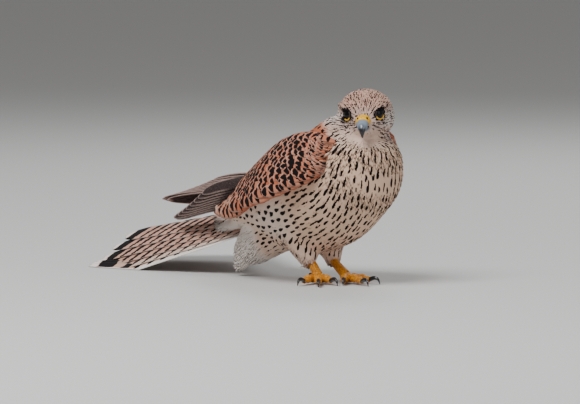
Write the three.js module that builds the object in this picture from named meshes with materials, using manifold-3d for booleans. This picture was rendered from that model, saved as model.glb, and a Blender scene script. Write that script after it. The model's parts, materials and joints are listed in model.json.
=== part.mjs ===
// A common kestrel (Falco tinnunculus), an adult female, life size, in millimetres.
// It stands on both feet with the body along +X, the breast at +X, its left side at +Y and +Z up.
// The head is turned far to its right, the folded wings lie over the back, and the tail is
// fanned and twisted so that its right edge comes down to the floor.
// Each body part is modelled in the stance and trimmed against its neighbours with a thin gap.
import * as THREE from "three";
import { mergeVertices } from "three/addons/utils/BufferGeometryUtils.js";
import Module from "manifold-3d";

const wasm = await Module();
wasm.setup();

// Driving dimensions, in millimetres and degrees
const GAP = 0.3; // left between parts that meet
const TRUNK_ROWS = 16;
const TRUNK_SIDES = 24;
const NECK_ROWS = 8;
const SLOPE_STEP = 0.02; // along a table of sections, to find its slope

// Trunk sections from vent to neck base: place along and up, half width, depth above and below
const TRUNK = [
  { x: -92, z: 37, wide: 9, up: 6, down: 7 },
  { x: -77, z: 44, wide: 20, up: 11, down: 19 },
  { x: -53, z: 53, wide: 30, up: 18, down: 35 },
  { x: -26, z: 61, wide: 36, up: 26, down: 46 },
  { x: 4, z: 70, wide: 37, up: 30, down: 47 },
  { x: 30, z: 77, wide: 33, up: 24, down: 36 },
  { x: 43, z: 82, wide: 24, up: 15, down: 22 },
  { x: 51, z: 84, wide: 11, up: 6, down: 9 },
];
// Neck rings from the shoulders up into the head: centre, reach back, reach forward, half width
const NECK = [
  { x: 9, z: 70, back: 36, front: 43, wide: 37 },
  { x: 13, z: 84, back: 33, front: 34, wide: 33 },
  { x: 20, z: 96, back: 27.5, front: 23, wide: 27 },
  { x: 28, z: 106, back: 20, front: 15, wide: 20 },
];

const HEAD_AT = new THREE.Vector3(32.8, 1, 108.4);
const HEAD_YAW = -46; // turned to its right
const HEAD_PITCH = 7; // bill lowered
const HEAD_ROLL = 2.5;
const HEAD_ROWS = 14;
const HEAD_SIDES = 22;
// Head sections from nape to bill root: place along, centre height, half width, above, below
const HEAD = [
  { x: -20, z: -1, wide: 4, up: 4, down: 5 },
  { x: -16.5, z: -0.5, wide: 12, up: 10, down: 12 },
  { x: -10, z: 0, wide: 17.2, up: 14.6, down: 17 },
  { x: -2, z: 0, wide: 19, up: 16.6, down: 18.5 },
  { x: 5, z: 0, wide: 18, up: 16, down: 18 },
  { x: 11, z: -0.5, wide: 14.8, up: 13.6, down: 15.5 },
  { x: 15.6, z: -2, wide: 10.7, up: 9.4, down: 11 },
  { x: 18.6, z: -3.2, wide: 5.2, up: 3.8, down: 5.6 },
];
// Fuller cheeks low at the sides, and a brow ridge over each eye: where along the head, how far
// they reach along it, and how much they add; the brow also has its height on the section
const CHEEK = { at: -1, reach: 9, swell: 3.2 };
const BROW = { at: 9.5, reach: 4.5, swell: 1.5, rise: 0.62, spread: 0.22, lift: 0.6 };

const EYE_AT = { x: 11.9, y: 7.4, z: 1.4 };
const EYE_RADIUS = 4.8;
const EYE_TURN = 52; // from straight ahead, outwards
const EYE_LIFT = 0.1; // slope of the eye's axis
const LID_RADIUS = 3.6;
const LID_TUBE = 0.55;
const LID_STAND = 0.7; // how far the lid stands off the ball

const FOOT_SPREAD = 9; // each foot's distance from the middle of the stance
const STANCE_AT = { x: 2, y: 0 };
const STANCE_YAW = -28; // both feet together turned to the bird's right
const TOE_HEIGHT = 3;

const TAIL_ROOT = new THREE.Vector3(-64, 0, 39);
const TAIL_YAW = 7; // swung to its left
const TAIL_DROP = 6; // central pair below level
const TAIL_LENGTH = 166;
const TAIL_OUTER_SHARE = 0.86; // outermost feather's share of the central one's length
const TAIL_SPREAD = 24; // from the central to the outermost feather, each side
const TAIL_TWIST_RIGHT = 27.5; // the right half turned down
const TAIL_TWIST_LEFT = 13; // the left half turned up
const TAIL_PAIRS = 6;
const RECTRIX_HALF_WIDTH = 8.8;
const VANE_THICKNESS = 0.6;

// Wing tips, with y counted towards the wing's own side as a negative number
const WING_TIP_RIGHT = new THREE.Vector3(-156, -1, 32.5);
const WING_TIP_LEFT = new THREE.Vector3(-182, -10, 42);

const COLOURS = {
  rufous: 0xb9805f,
  buff: 0xc9b3a0,
  white: 0xe4dfd8,
  dark: 0x2f2a2e,
  crown: 0xbfa79b,
  yellow: 0xe0a818,
  horn: 0x59616c,
  claw: 0x1d1e22,
  eye: 0x0c0a0a,
};

// Small maths helpers
const radians = (degrees) => THREE.MathUtils.degToRad(degrees);
const at = (x, y, z) => new THREE.Vector3(x, y, z);
const mix = (a, b, t) => a + (b - a) * t;
const bell = (x, middle, reach) => Math.exp(-(((x - middle) / reach) ** 2));

// Smoothly interpolates a list of plain records of numbers at t from 0 to 1
function along(records, t) {
  const last = records.length - 1;
  const place = THREE.MathUtils.clamp(t, 0, 1) * last;
  const i = Math.min(Math.floor(place), last - 1);
  const f = place - i;
  const pick = (k) => records[THREE.MathUtils.clamp(k, 0, last)];
  const made = {};
  for (const key of Object.keys(records[0])) {
    const [p0, p1, p2, p3] = [pick(i - 1)[key], pick(i)[key], pick(i + 1)[key], pick(i + 2)[key]];
    const m1 = (p2 - p0) / 2;
    const m2 = (p3 - p1) / 2;
    const f2 = f * f;
    const f3 = f2 * f;
    made[key] =
      (2 * f3 - 3 * f2 + 1) * p1 + (f3 - 2 * f2 + f) * m1 + (3 * f2 - 2 * f3) * p2 + (f3 - f2) * m2;
  }
  return made;
}

// Solids: a closed geometry becomes a manifold and back
function solidOf(geometry) {
  const bare = geometry.clone();
  bare.deleteAttribute("normal");
  bare.deleteAttribute("uv");
  const merged = mergeVertices(bare, 1e-4);
  return new wasm.Manifold(
    new wasm.Mesh({
      numProp: 3,
      vertProperties: merged.attributes.position.array,
      triVerts: new Uint32Array(merged.index.array),
    }),
  );
}

function geometryOf(solid) {
  const mesh = solid.getMesh();
  const geometry = new THREE.BufferGeometry();
  geometry.setAttribute("position", new THREE.BufferAttribute(new Float32Array(mesh.vertProperties), 3));
  geometry.setIndex(new THREE.BufferAttribute(new Uint32Array(mesh.triVerts), 1));
  return geometry;
}

// Keeps the largest closed surface of a solid
function largest(solid) {
  const bodies = solid.decompose();
  return bodies.reduce((best, body) => (body.volume() > best.volume() ? body : best));
}

const join = (solids) => solids.reduce((sum, next) => sum.add(next));
const without = (solid, cutters) => largest(cutters.reduce((rest, cutter) => rest.subtract(cutter), solid));

// Closed skin over rings of equal count, with a middle point at each end.
// From ring place flipFrom on, faces are split along the other diagonal, so that the two sides of
// a thin vane are split alike.
function loft(rings, flipFrom = Infinity) {
  const sides = rings[0].length;
  const points = rings.flat();
  const index = [];
  const ringAt = (row, k) => row * sides + (k % sides);
  for (let row = 0; row + 1 < rings.length; row++) {
    for (let k = 0; k < sides; k++) {
      const [a, b] = [ringAt(row, k), ringAt(row, k + 1)];
      const [c, d] = [ringAt(row + 1, k + 1), ringAt(row + 1, k)];
      if (k < flipFrom) index.push(a, b, c, a, c, d);
      else index.push(a, b, d, b, c, d);
    }
  }
  for (const [row, turned] of [[0, true], [rings.length - 1, false]]) {
    const middle = points.length;
    points.push(rings[row].reduce((sum, p) => sum.add(p), at(0, 0, 0)).divideScalar(sides));
    for (let k = 0; k < sides; k++) {
      const [a, b] = [ringAt(row, k), ringAt(row, k + 1)];
      if (turned) index.push(middle, b, a);
      else index.push(middle, a, b);
    }
  }
  const geometry = new THREE.BufferGeometry().setFromPoints(points);
  geometry.setIndex(index);
  const solid = solidOf(geometry);
  if (solid.volume() > 0) return solid;
  for (let i = 0; i < index.length; i += 3) [index[i + 1], index[i + 2]] = [index[i + 2], index[i + 1]];
  geometry.setIndex(index);
  return solidOf(geometry);
}

// A ball of a radius at a place
function ball(centre, radius, wide = 16, high = 10) {
  const geometry = new THREE.SphereGeometry(radius, wide, high);
  geometry.translate(centre.x, centre.y, centre.z);
  return solidOf(geometry);
}

// Round limb along a curve, with a radius that follows a list
function limb(points, radii, sides = 8, rows = 8, flatten = 1) {
  const curve = new THREE.CatmullRomCurve3(points);
  const frames = curve.computeFrenetFrames(rows, false);
  const sizes = radii.map((radius) => ({ radius }));
  const rings = [];
  for (let row = 0; row <= rows; row++) {
    const t = row / rows;
    const centre = curve.getPoint(t);
    const { radius } = along(sizes, t);
    const ring = [];
    for (let k = 0; k < sides; k++) {
      const turn = (2 * Math.PI * k) / sides;
      ring.push(
        centre
          .clone()
          .addScaledVector(frames.normals[row], Math.cos(turn) * radius)
          .addScaledVector(frames.binormals[row], Math.sin(turn) * radius * flatten),
      );
    }
    rings.push(ring);
  }
  return loft(rings);
}

// Trunk
function trunk(extra = 0) {
  const rings = [];
  for (let row = 0; row <= TRUNK_ROWS; row++) {
    const t = row / TRUNK_ROWS;
    const here = along(TRUNK, t);
    const before = along(TRUNK, t - SLOPE_STEP);
    const after = along(TRUNK, t + SLOPE_STEP);
    const forward = at(after.x - before.x, 0, after.z - before.z).normalize();
    const upward = at(-forward.z, 0, forward.x);
    const ring = [];
    for (let k = 0; k < TRUNK_SIDES; k++) {
      const turn = (2 * Math.PI * k) / TRUNK_SIDES;
      const rise = Math.sin(turn);
      const depth = (rise > 0 ? here.up : here.down) + extra;
      ring.push(
        at(here.x, Math.cos(turn) * (here.wide + extra), here.z).addScaledVector(upward, rise * depth),
      );
    }
    rings.push(ring);
  }
  return loft(rings);
}

function neckForm() {
  const rings = [];
  for (let row = 0; row <= NECK_ROWS; row++) {
    const here = along(NECK, row / NECK_ROWS);
    const ring = [];
    for (let k = 0; k < TRUNK_SIDES; k++) {
      const turn = (2 * Math.PI * k) / TRUNK_SIDES;
      const ahead = Math.cos(turn);
      const reach = ahead > 0 ? here.front : here.back;
      ring.push(at(here.x + ahead * reach, Math.sin(turn) * here.wide, here.z));
    }
    rings.push(ring);
  }
  return loft(rings);
}

// Head, in its own frame: bill along +X, left at +Y, crown at +Z
function headForm(extra = 0) {
  const rings = [];
  for (let row = 0; row <= HEAD_ROWS; row++) {
    const here = along(HEAD, row / HEAD_ROWS);
    const ring = [];
    for (let k = 0; k < HEAD_SIDES; k++) {
      const turn = (2 * Math.PI * k) / HEAD_SIDES;
      const rise = Math.sin(turn);
      const side = Math.cos(turn);
      const low = Math.max(0, -rise) * Math.abs(side);
      const cheek = CHEEK.swell * bell(here.x, CHEEK.at, CHEEK.reach) * low;
      const brow = BROW.swell * bell(here.x, BROW.at, BROW.reach) * bell(rise, BROW.rise, BROW.spread);
      const wide = here.wide + extra + cheek + brow;
      const tall = (rise > 0 ? here.up : here.down) + extra + brow * BROW.lift;
      ring.push(at(here.x, side * wide, here.z + rise * tall));
    }
    rings.push(ring);
  }
  return loft(rings);
}

const eyeAt = (side) => at(EYE_AT.x, side * EYE_AT.y, EYE_AT.z);
const eyeAxis = (side) =>
  at(Math.cos(radians(EYE_TURN)), side * Math.sin(radians(EYE_TURN)), EYE_LIFT).normalize();

function lidRing(side, tube) {
  const geometry = new THREE.TorusGeometry(LID_RADIUS, tube, 5, 16);
  geometry.applyQuaternion(new THREE.Quaternion().setFromUnitVectors(at(0, 0, 1), eyeAxis(side)));
  const reach = Math.sqrt(EYE_RADIUS ** 2 - LID_RADIUS ** 2) + LID_STAND;
  const place = eyeAt(side).addScaledVector(eyeAxis(side), reach);
  geometry.translate(place.x, place.y, place.z);
  return solidOf(geometry);
}

// Room for both eyes and their lids
const eyeRoom = () =>
  [1, -1].flatMap((side) => [ball(eyeAt(side), EYE_RADIUS + GAP), lidRing(side, LID_TUBE + GAP)]);

// Bill forms: sections along a curve in the head's middle plane
function billForm(sections, rows, sides, grow = 0) {
  const rings = [];
  for (let row = 0; row <= rows; row++) {
    const t = row / rows;
    const here = along(sections, t);
    const before = along(sections, t - SLOPE_STEP);
    const after = along(sections, t + SLOPE_STEP);
    const forward = at(after.x - before.x, 0, after.z - before.z).normalize();
    const upward = at(-forward.z, 0, forward.x);
    const ring = [];
    for (let k = 0; k < sides; k++) {
      const turn = (2 * Math.PI * k) / sides;
      const rise = Math.sin(turn);
      const depth = (rise > 0 ? here.up : here.down) + grow;
      const middle = at(here.x, Math.cos(turn) * (here.wide + grow), here.z);
      ring.push(middle.addScaledVector(upward, rise * depth));
    }
    rings.push(ring);
  }
  return loft(rings);
}

const UPPER_BILL = [
  { x: 13.5, z: -1.9, wide: 4.8, up: 3.2, down: 2.9 },
  { x: 18.4, z: -2.2, wide: 4.5, up: 3.1, down: 2.8 },
  { x: 22, z: -2.9, wide: 3.95, up: 2.9, down: 2.6 },
  { x: 25.3, z: -4.5, wide: 3.05, up: 2.7, down: 2.2 },
  { x: 27.3, z: -6.9, wide: 1.85, up: 2, down: 1.5 },
  { x: 27.8, z: -9.2, wide: 0.9, up: 1, down: 0.8 },
  { x: 27.4, z: -10.8, wide: 0.3, up: 0.3, down: 0.3 },
];
const LOWER_BILL = [
  { x: 13, z: -6.7, wide: 4.6, up: 1.6, down: 2 },
  { x: 18.4, z: -6.8, wide: 3.8, up: 1.5, down: 1.7 },
  { x: 22, z: -6.9, wide: 2.7, up: 1.2, down: 1.3 },
  { x: 24.8, z: -7, wide: 1.1, up: 0.6, down: 0.7 },
];
const CERE_END = 21.8; // the cere's front edge along the head
const CERE_SWELL = 0.5; // thickness of the cere over the horn
const NOSTRIL = { x: 20.6, y: 3.3, z: 0, radius: 0.75, depth: 3, lean: 32 };
const BILL_ROWS = 11;
const BILL_SIDES = 12;
const CUTTER_SIZE = 60;

// Everything ahead of a place along the head, as far as a cutter needs to reach
function halfSpace(fromX) {
  const geometry = new THREE.BoxGeometry(CUTTER_SIZE, CUTTER_SIZE, CUTTER_SIZE);
  geometry.translate(fromX + CUTTER_SIZE / 2, 0, 0);
  return solidOf(geometry);
}

// A nostril's round bore, sunk into the cere at right angles to it
function nostril(side) {
  const hole = new THREE.CylinderGeometry(NOSTRIL.radius, NOSTRIL.radius, NOSTRIL.depth, 10);
  hole.rotateX(side * radians(NOSTRIL.lean));
  hole.translate(NOSTRIL.x, side * NOSTRIL.y, NOSTRIL.z);
  return solidOf(hole);
}

function headParts() {
  const group = new THREE.Group();
  group.name = "head_group";
  group.position.copy(HEAD_AT);
  group.rotation.set(radians(HEAD_ROLL), radians(HEAD_PITCH), radians(HEAD_YAW), "ZYX");
  group.updateMatrix();

  const eyes = { left: ball(eyeAt(1), EYE_RADIUS), right: ball(eyeAt(-1), EYE_RADIUS) };
  const head = without(headForm(), eyeRoom());
  const grownHead = headForm(GAP);

  const upper = billForm(UPPER_BILL, BILL_ROWS, BILL_SIDES);
  const cereForm = billForm(UPPER_BILL, BILL_ROWS, BILL_SIDES, CERE_SWELL);
  const roof = billForm(UPPER_BILL, BILL_ROWS, BILL_SIDES, CERE_SWELL + GAP);
  const cere = without(cereForm, [grownHead, halfSpace(CERE_END), nostril(1), nostril(-1)]);
  const mandible = without(upper, [grownHead, halfSpace(CERE_END + GAP - CUTTER_SIZE)]);
  const lower = without(billForm(LOWER_BILL, 8, 10), [grownHead, roof]);

  addPart(group, "head", head, COLOURS.crown);
  addPart(group, "cere", cere, COLOURS.yellow, 0.5);
  addPart(group, "bill_upper", mandible, COLOURS.horn, 0.35);
  addPart(group, "bill_lower", lower, COLOURS.horn, 0.35);
  for (const [name, side] of [["left", 1], ["right", -1]]) {
    const lid = without(lidRing(side, LID_TUBE), [ball(eyeAt(side), EYE_RADIUS + GAP)]);
    addPart(group, `eye_${name}`, eyes[name], COLOURS.eye, 0.08);
    addPart(group, `eyelid_${name}`, lid, COLOURS.yellow, 0.5);
  }
  return group;
}

function addPart(parent, name, solid, colour, roughness = 0.85) {
  const material = new THREE.MeshStandardMaterial({ color: colour, roughness, metalness: 0 });
  const mesh = new THREE.Mesh(geometryOf(solid), material);
  mesh.name = name;
  parent.add(mesh);
  return mesh;
}

const ROOT_SHARE = 0.5; // a vane's width at its root
const ROOT_SWELL = 1.4; // and how fast it fills out
const TIP_FROM = 0.78; // from here on it rounds off

// One feather blade: a thin strip from root along a direction, wide across it.
// It has a raised middle rib, and bend lifts the tip along the face by that share of the length.
function vane({ root, along: run, face, length, halfWidth, bend, thickness, rows, tip = 0.25 }) {
  const forward = run.clone().normalize();
  const across = new THREE.Vector3().crossVectors(face, forward).normalize();
  const normal = new THREE.Vector3().crossVectors(forward, across).normalize();
  const rings = [];
  for (let row = 0; row <= rows; row++) {
    const t = row / rows;
    const swell = Math.min(1, ROOT_SHARE + ROOT_SWELL * t);
    const close = Math.sqrt(Math.max(0, 1 - Math.max(0, (t - TIP_FROM) / (1 - TIP_FROM)) ** 2));
    const half = halfWidth * swell * mix(tip, 1, close);
    const thick = thickness * mix(1, 0.8, t);
    const centre = root
      .clone()
      .addScaledVector(forward, length * t)
      .addScaledVector(normal, bend * length * t * t);
    const corner = (side, lift) =>
      centre.clone().addScaledVector(across, side * half).addScaledVector(normal, lift * thick);
    rings.push([
      corner(-1, 0.5),
      corner(0, 0.9),
      corner(1, 0.5),
      corner(1, -0.5),
      corner(0, -0.1),
      corner(-1, -0.5),
    ]);
  }
  return loft(rings, 3);
}

// Tail: twelve fanned feathers on a flattened root
const TAIL_STEM = [
  { d: 4, wide: 9, up: 5, down: 7 },
  { d: 16, wide: 13, up: 5, down: 8.5 },
  { d: 30, wide: 16, up: 3.5, down: 8 },
  { d: 42, wide: 13, up: 1.2, down: 5 },
  { d: 50, wide: 5, up: 0.6, down: 1 },
];
const TAIL_STACK = 0.95; // each feather lies this far below the one nearer the middle
const TAIL_ROOT_HALF = 7; // roots spread this far from the middle
const TAIL_BEND = -0.02; // the feathers droop by this share of their length
const OUTER_WIDTH_SHARE = 0.82; // the outermost feather's width to the central one's
const MIDDLE_SPREAD = 1.6; // the central feathers' turn outwards, in degrees
const MIDDLE_ROOT = 0.8; // and their roots' distance from the middle

// Directions of the tail plane on one side: backwards, outwards and up from its face
function tailPlane(side) {
  const yaw = radians(180 - TAIL_YAW);
  const drop = radians(TAIL_DROP);
  const back = at(Math.cos(yaw) * Math.cos(drop), Math.sin(yaw) * Math.cos(drop), -Math.sin(drop));
  const level = at(Math.sin(radians(TAIL_YAW)), Math.cos(radians(TAIL_YAW)), 0).multiplyScalar(side);
  const twist = radians(side > 0 ? TAIL_TWIST_LEFT : -TAIL_TWIST_RIGHT);
  const outward = level.multiplyScalar(Math.cos(twist)).add(at(0, 0, Math.sin(twist)));
  const face = new THREE.Vector3().crossVectors(outward, back).normalize();
  if (face.z < 0) face.negate();
  return { back, outward, face };
}

function tailFeather(side, place) {
  // place 0 is the central feather and 1 the outermost
  const { back, outward, face } = tailPlane(side);
  const spread = radians(mix(MIDDLE_SPREAD, TAIL_SPREAD, place));
  const run = back.clone().multiplyScalar(Math.cos(spread)).addScaledVector(outward, Math.sin(spread));
  const sunk = place * (TAIL_PAIRS - 1) * TAIL_STACK + (side > 0 ? TAIL_STACK * 0.5 : 0);
  const root = TAIL_ROOT.clone()
    .addScaledVector(outward, mix(MIDDLE_ROOT, TAIL_ROOT_HALF, place))
    .addScaledVector(face, -sunk);
  return { root, run, face, length: TAIL_LENGTH * mix(1, TAIL_OUTER_SHARE, place ** 1.5) };
}

function tailStem(grow = 0) {
  const rows = 10;
  const sides = 16;
  const planes = { left: tailPlane(1), right: tailPlane(-1) };
  const rings = [];
  for (let row = 0; row <= rows; row++) {
    const here = along(TAIL_STEM, row / rows);
    const ring = [];
    for (let k = 0; k < sides; k++) {
      const turn = (2 * Math.PI * k) / sides;
      const side = Math.cos(turn);
      const rise = Math.sin(turn);
      const { back, outward, face } = side > 0 ? planes.left : planes.right;
      ring.push(
        TAIL_ROOT.clone()
          .addScaledVector(back, here.d)
          .addScaledVector(outward, Math.abs(side) * (here.wide + grow))
          .addScaledVector(face, rise * ((rise > 0 ? here.up : here.down) + grow)),
      );
    }
    rings.push(ring);
  }
  return loft(rings);
}

function tail(body, grow = 0) {
  const feathers = [];
  for (const side of [-1, 1]) {
    for (let pair = 0; pair < TAIL_PAIRS; pair++) {
      const place = pair / (TAIL_PAIRS - 1);
      const { root, run, face, length } = tailFeather(side, place);
      const halfWidth = RECTRIX_HALF_WIDTH * mix(1, OUTER_WIDTH_SHARE, place);
      const thickness = VANE_THICKNESS + 2 * grow;
      feathers.push(
        vane({ root, along: run, face, length, halfWidth, thickness, bend: TAIL_BEND, rows: 5 }),
      );
    }
  }
  return without(join([tailStem(grow), ...feathers]), body);
}

// Halfway from the last secondary to a wing's tip
const wristToTip = (tip) => ({ x: mix(-72, tip.x, 0.5), y: mix(-23, tip.y, 0.55), z: mix(48, tip.z, 0.5) });

// Folded wing, for the right side; the left is mirrored across the middle plane
function wingSpine(tip) {
  return [
    { x: 36, y: -22, z: 84, half: 7, thick: 2.5, lean: 0.3 },
    { x: 18, y: -33, z: 80, half: 17, thick: 5, lean: 0.35 },
    { x: -12, y: -36, z: 71, half: 22, thick: 6, lean: 0.55 },
    { x: -42, y: -31, z: 59, half: 18, thick: 5, lean: 0.65 },
    { x: -72, y: -23, z: 48, half: 12, thick: 3.5, lean: 0.75 },
    { ...wristToTip(tip), half: 7, thick: 2, lean: 0.85 },
    { x: tip.x, y: tip.y, z: tip.z, half: 1.5, thick: 0.5, lean: 0.95 },
  ];
}

const CORE_END = 0.74; // the solid part of the wing stops here along its spine
// Tiers of covering feathers, from the hand towards the shoulder: place along the spine, how many,
// from which height to which, length and half width, and how far the tips stand off
const TIERS = [
  { place: 0.44, count: 5, low: -0.6, high: 0.7, length: 46, halfWidth: 6.6, stand: 1.3 },
  { place: 0.36, count: 6, low: -0.8, high: 0.84, length: 29, halfWidth: 5.4, stand: 1.6 },
  { place: 0.24, count: 6, low: -0.84, high: 0.9, length: 28, halfWidth: 5.6, stand: 1.6 },
  { place: 0.12, count: 6, low: -0.8, high: 0.88, length: 27, halfWidth: 5, stand: 1.6 },
];
const PRIMARY_COUNT = 6;
const PRIMARY_HALF_WIDTH = 5.4;
const PRIMARY_STEP = 10; // each primary is this much shorter than the one beneath it
const PRIMARY_RISE = 1.1; // and lies this much higher
const PRIMARY_PITCH = 1; // and this much further out
const PRIMARY_ROOT_PLACE = 0.6; // along the spine, inside the solid part

// Small repeatable variation from -1 to 1
function varied(seed) {
  const raw = Math.sin(seed * 12.9898 + 4.1414) * 43758.5453;
  return 2 * (raw - Math.floor(raw)) - 1;
}

// The wing's directions at a place along its spine
function wingAt(spine, side, place) {
  const here = along(spine, place);
  const outward = at(0, side, here.lean).normalize();
  const upward = at(0, -side * here.lean, 1).normalize();
  return { here, outward, upward, centre: at(here.x, side * -here.y, here.z) };
}

// Point on the wing's outer face, and the face's direction there; height runs from -1 to 1
function onWing(spine, side, place, height, lift = 0) {
  const { here, outward, upward, centre } = wingAt(spine, side, place);
  const out = Math.sqrt(Math.max(0, 1 - height * height));
  const face = at(0, 0, 0)
    .addScaledVector(upward, height / here.half)
    .addScaledVector(outward, out / here.thick)
    .normalize();
  const point = centre
    .addScaledVector(upward, height * here.half)
    .addScaledVector(outward, out * here.thick)
    .addScaledVector(face, lift);
  return { point, face };
}

function wingCore(spine, side) {
  const rows = 9;
  const sides = 12;
  const rings = [];
  for (let row = 0; row <= rows; row++) {
    const place = (CORE_END * row) / rows;
    const { here, outward, upward, centre } = wingAt(spine, side, place);
    const close = Math.sqrt(1 - Math.max(0, (row / rows - 0.8) / 0.25) ** 2);
    const ring = [];
    for (let k = 0; k < sides; k++) {
      const turn = (2 * Math.PI * k) / sides;
      ring.push(
        centre
          .clone()
          .addScaledVector(upward, Math.sin(turn) * here.half * close)
          .addScaledVector(outward, Math.cos(turn) * here.thick * close),
      );
    }
    rings.push(ring);
  }
  return loft(rings);
}

// One feather blade through a start, a middle and an end point, wide across its face
function blade({ from, mid, to, face, halfWidth, thickness = VANE_THICKNESS, rows = 2, tip = 0.3 }) {
  const control = mid.clone().multiplyScalar(2).sub(from.clone().add(to).multiplyScalar(0.5));
  const curve = new THREE.QuadraticBezierCurve3(from, control, to);
  const rings = [];
  for (let row = 0; row <= rows; row++) {
    const t = row / rows;
    const across = new THREE.Vector3().crossVectors(face, curve.getTangent(t)).normalize();
    const normal = new THREE.Vector3().crossVectors(curve.getTangent(t), across).normalize();
    const half = halfWidth * Math.min(1, 0.62 + t) * (row === rows ? tip : 1);
    const centre = curve.getPoint(t);
    const corner = (along1, lift) =>
      centre.clone().addScaledVector(across, along1 * half).addScaledVector(normal, lift * thickness);
    rings.push([corner(-1, 0.5), corner(1, 0.5), corner(1, -0.5), corner(-1, -0.5)]);
  }
  return loft(rings, 2);
}

function spineLength(spine, from, to) {
  const [a, b] = [along(spine, from), along(spine, to)];
  return Math.hypot(b.x - a.x, b.y - a.y, b.z - a.z);
}

// The covering feathers of one tier, laid over the wing's outer face
function tierOf(spine, side, tier, seed) {
  const made = [];
  const perPlace = spineLength(spine, tier.place, tier.place + 0.1) / 0.1;
  for (let k = 0; k < tier.count; k++) {
    const draw = varied(seed * 31 + k);
    const height = mix(tier.low, tier.high, k / (tier.count - 1));
    const start = tier.place + 0.012 * draw;
    const reach = (tier.length * (1 + 0.08 * draw)) / perPlace;
    const drift = height * 0.86;
    const root = onWing(spine, side, start, height, -1.6);
    const middle = onWing(spine, side, start + reach * 0.5, mix(height, drift, 0.5), tier.stand * 0.6);
    const end = onWing(spine, side, start + reach, drift, tier.stand);
    const { halfWidth } = tier;
    made.push(blade({ from: root.point, mid: middle.point, to: end.point, face: middle.face, halfWidth }));
  }
  return made;
}

function primaries(spine, side, tip) {
  const made = [];
  const { outward, upward } = wingAt(spine, side, 0.85);
  const end = at(tip.x, side * -tip.y, tip.z);
  for (let k = 0; k < PRIMARY_COUNT; k++) {
    const start = wingAt(spine, side, PRIMARY_ROOT_PLACE).centre
      .addScaledVector(upward, -5 + k * 1.5)
      .addScaledVector(outward, k * PRIMARY_PITCH - 3);
    const back = Math.max(0, k - 1) * PRIMARY_STEP + (k === 0 ? 5 : 0);
    const toRoot = start.clone().sub(end).normalize();
    const finish = end
      .clone()
      .addScaledVector(toRoot, back)
      .addScaledVector(upward, k * PRIMARY_RISE)
      .addScaledVector(outward, k * PRIMARY_PITCH);
    const middle = start
      .clone()
      .lerp(finish, 0.5)
      .addScaledVector(outward, 2.2);
    made.push(
      blade({
        from: start,
        mid: middle,
        to: finish,
        face: outward,
        halfWidth: PRIMARY_HALF_WIDTH,
        rows: 3,
        tip: 0.22,
      }),
    );
  }
  return made;
}

function wing(side, tip, cutters) {
  const spine = wingSpine(tip);
  const tiers = TIERS.flatMap((tier, number) => tierOf(spine, side, tier, number * 2 + side));
  return without(join([wingCore(spine, side), ...primaries(spine, side, tip), ...tiers]), cutters);
}

// Leg pieces: feathered thigh, bare tarsus, four toes with claws
// A left thigh's path from the body down to the tarsus, with its radius
const THIGH = [
  { x: -14, y: 13, z: 50, radius: 16 },
  { x: -16, y: 13, z: 36, radius: 15 },
  { x: -13, y: 11, z: 24, radius: 11.5 },
  { x: -7, y: 9.3, z: 12.5, radius: 6.5 },
];
// Loose feathers under the tail base, hung a little to the right
const VENT = [
  { x: -36, y: 0, z: 38, radius: 20 },
  { x: -55, y: -3, z: 29, radius: 18 },
  { x: -69, y: -8, z: 17, radius: 13 },
  { x: -75, y: -12, z: 5, radius: 4 },
];
const PLUSH_SIDES = 14;
const PLUSH_ROWS = 7;

// A soft feathered form along a table of places and radii
function plush(table, side, cutters) {
  const points = table.map(({ x, y, z }) => at(x, side * y, z));
  return without(limb(points, table.map(({ radius }) => radius), PLUSH_SIDES, PLUSH_ROWS), cutters);
}

const footAt = (side) =>
  at(
    STANCE_AT.x - Math.sin(radians(STANCE_YAW)) * side * FOOT_SPREAD,
    STANCE_AT.y + Math.cos(radians(STANCE_YAW)) * side * FOOT_SPREAD,
    0,
  );

function tarsus(side, cutters) {
  const foot = footAt(side);
  const path = [at(-16, side * 10, 24), at(-8, side * 9, 14), at(foot.x - 1, foot.y, 5.5)];
  return without(limb(path, [3.4, 3, 3.4], 10, 6), cutters);
}

// Toe angles from straight ahead, lengths and claw lengths, for a left foot
const TOES = [
  { name: "hind", turn: 176, length: 13, claw: 10 },
  { name: "inner", turn: -17, length: 17, claw: 9.5 },
  { name: "middle", turn: 12, length: 25, claw: 10 },
  { name: "outer", turn: 42, length: 19, claw: 8.5 },
];
const TOE_THICK = 2.7;
const TOE_TAPER = [1, 0.95, 0.92, 0.85, 0.66]; // its radius from root to claw, as a share
const TOE_ARCH = 0.96;
const CLAW_TAPER = [1.5, 1.25, 0.8, 0.35];
const PAD_RADIUS = 4.1; // the ball of the foot

function toePath(toe, side, t) {
  const turn = radians(toe.turn) * side;
  const reach = toe.length * t;
  return at(Math.cos(turn) * reach, Math.sin(turn) * reach, TOE_HEIGHT + Math.sin(Math.PI * t) * TOE_ARCH);
}

function toeSolid(toe, side) {
  const points = TOE_TAPER.map((share, k) => toePath(toe, side, k / (TOE_TAPER.length - 1)));
  return limb(points, TOE_TAPER.map((share) => TOE_THICK * share), 7, 5);
}

function clawSolid(toe, side) {
  const turn = radians(toe.turn) * side;
  const out = at(Math.cos(turn), Math.sin(turn), 0);
  const start = toePath(toe, side, 1);
  const reach = toe.claw;
  const points = [
    start.clone().addScaledVector(out, -1.2),
    start.clone().addScaledVector(out, reach * 0.35).add(at(0, 0, 1.3)),
    start.clone().addScaledVector(out, reach * 0.68).add(at(0, 0, 0.3)),
    start.clone().addScaledVector(out, reach * 0.82).setZ(0.45),
  ];
  return limb(points, CLAW_TAPER, 6, 5);
}

// A level slab that flattens what would reach below the floor
function underFloor() {
  const geometry = new THREE.BoxGeometry(900, 900, 40);
  geometry.translate(0, 0, -20);
  return solidOf(geometry);
}

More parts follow.
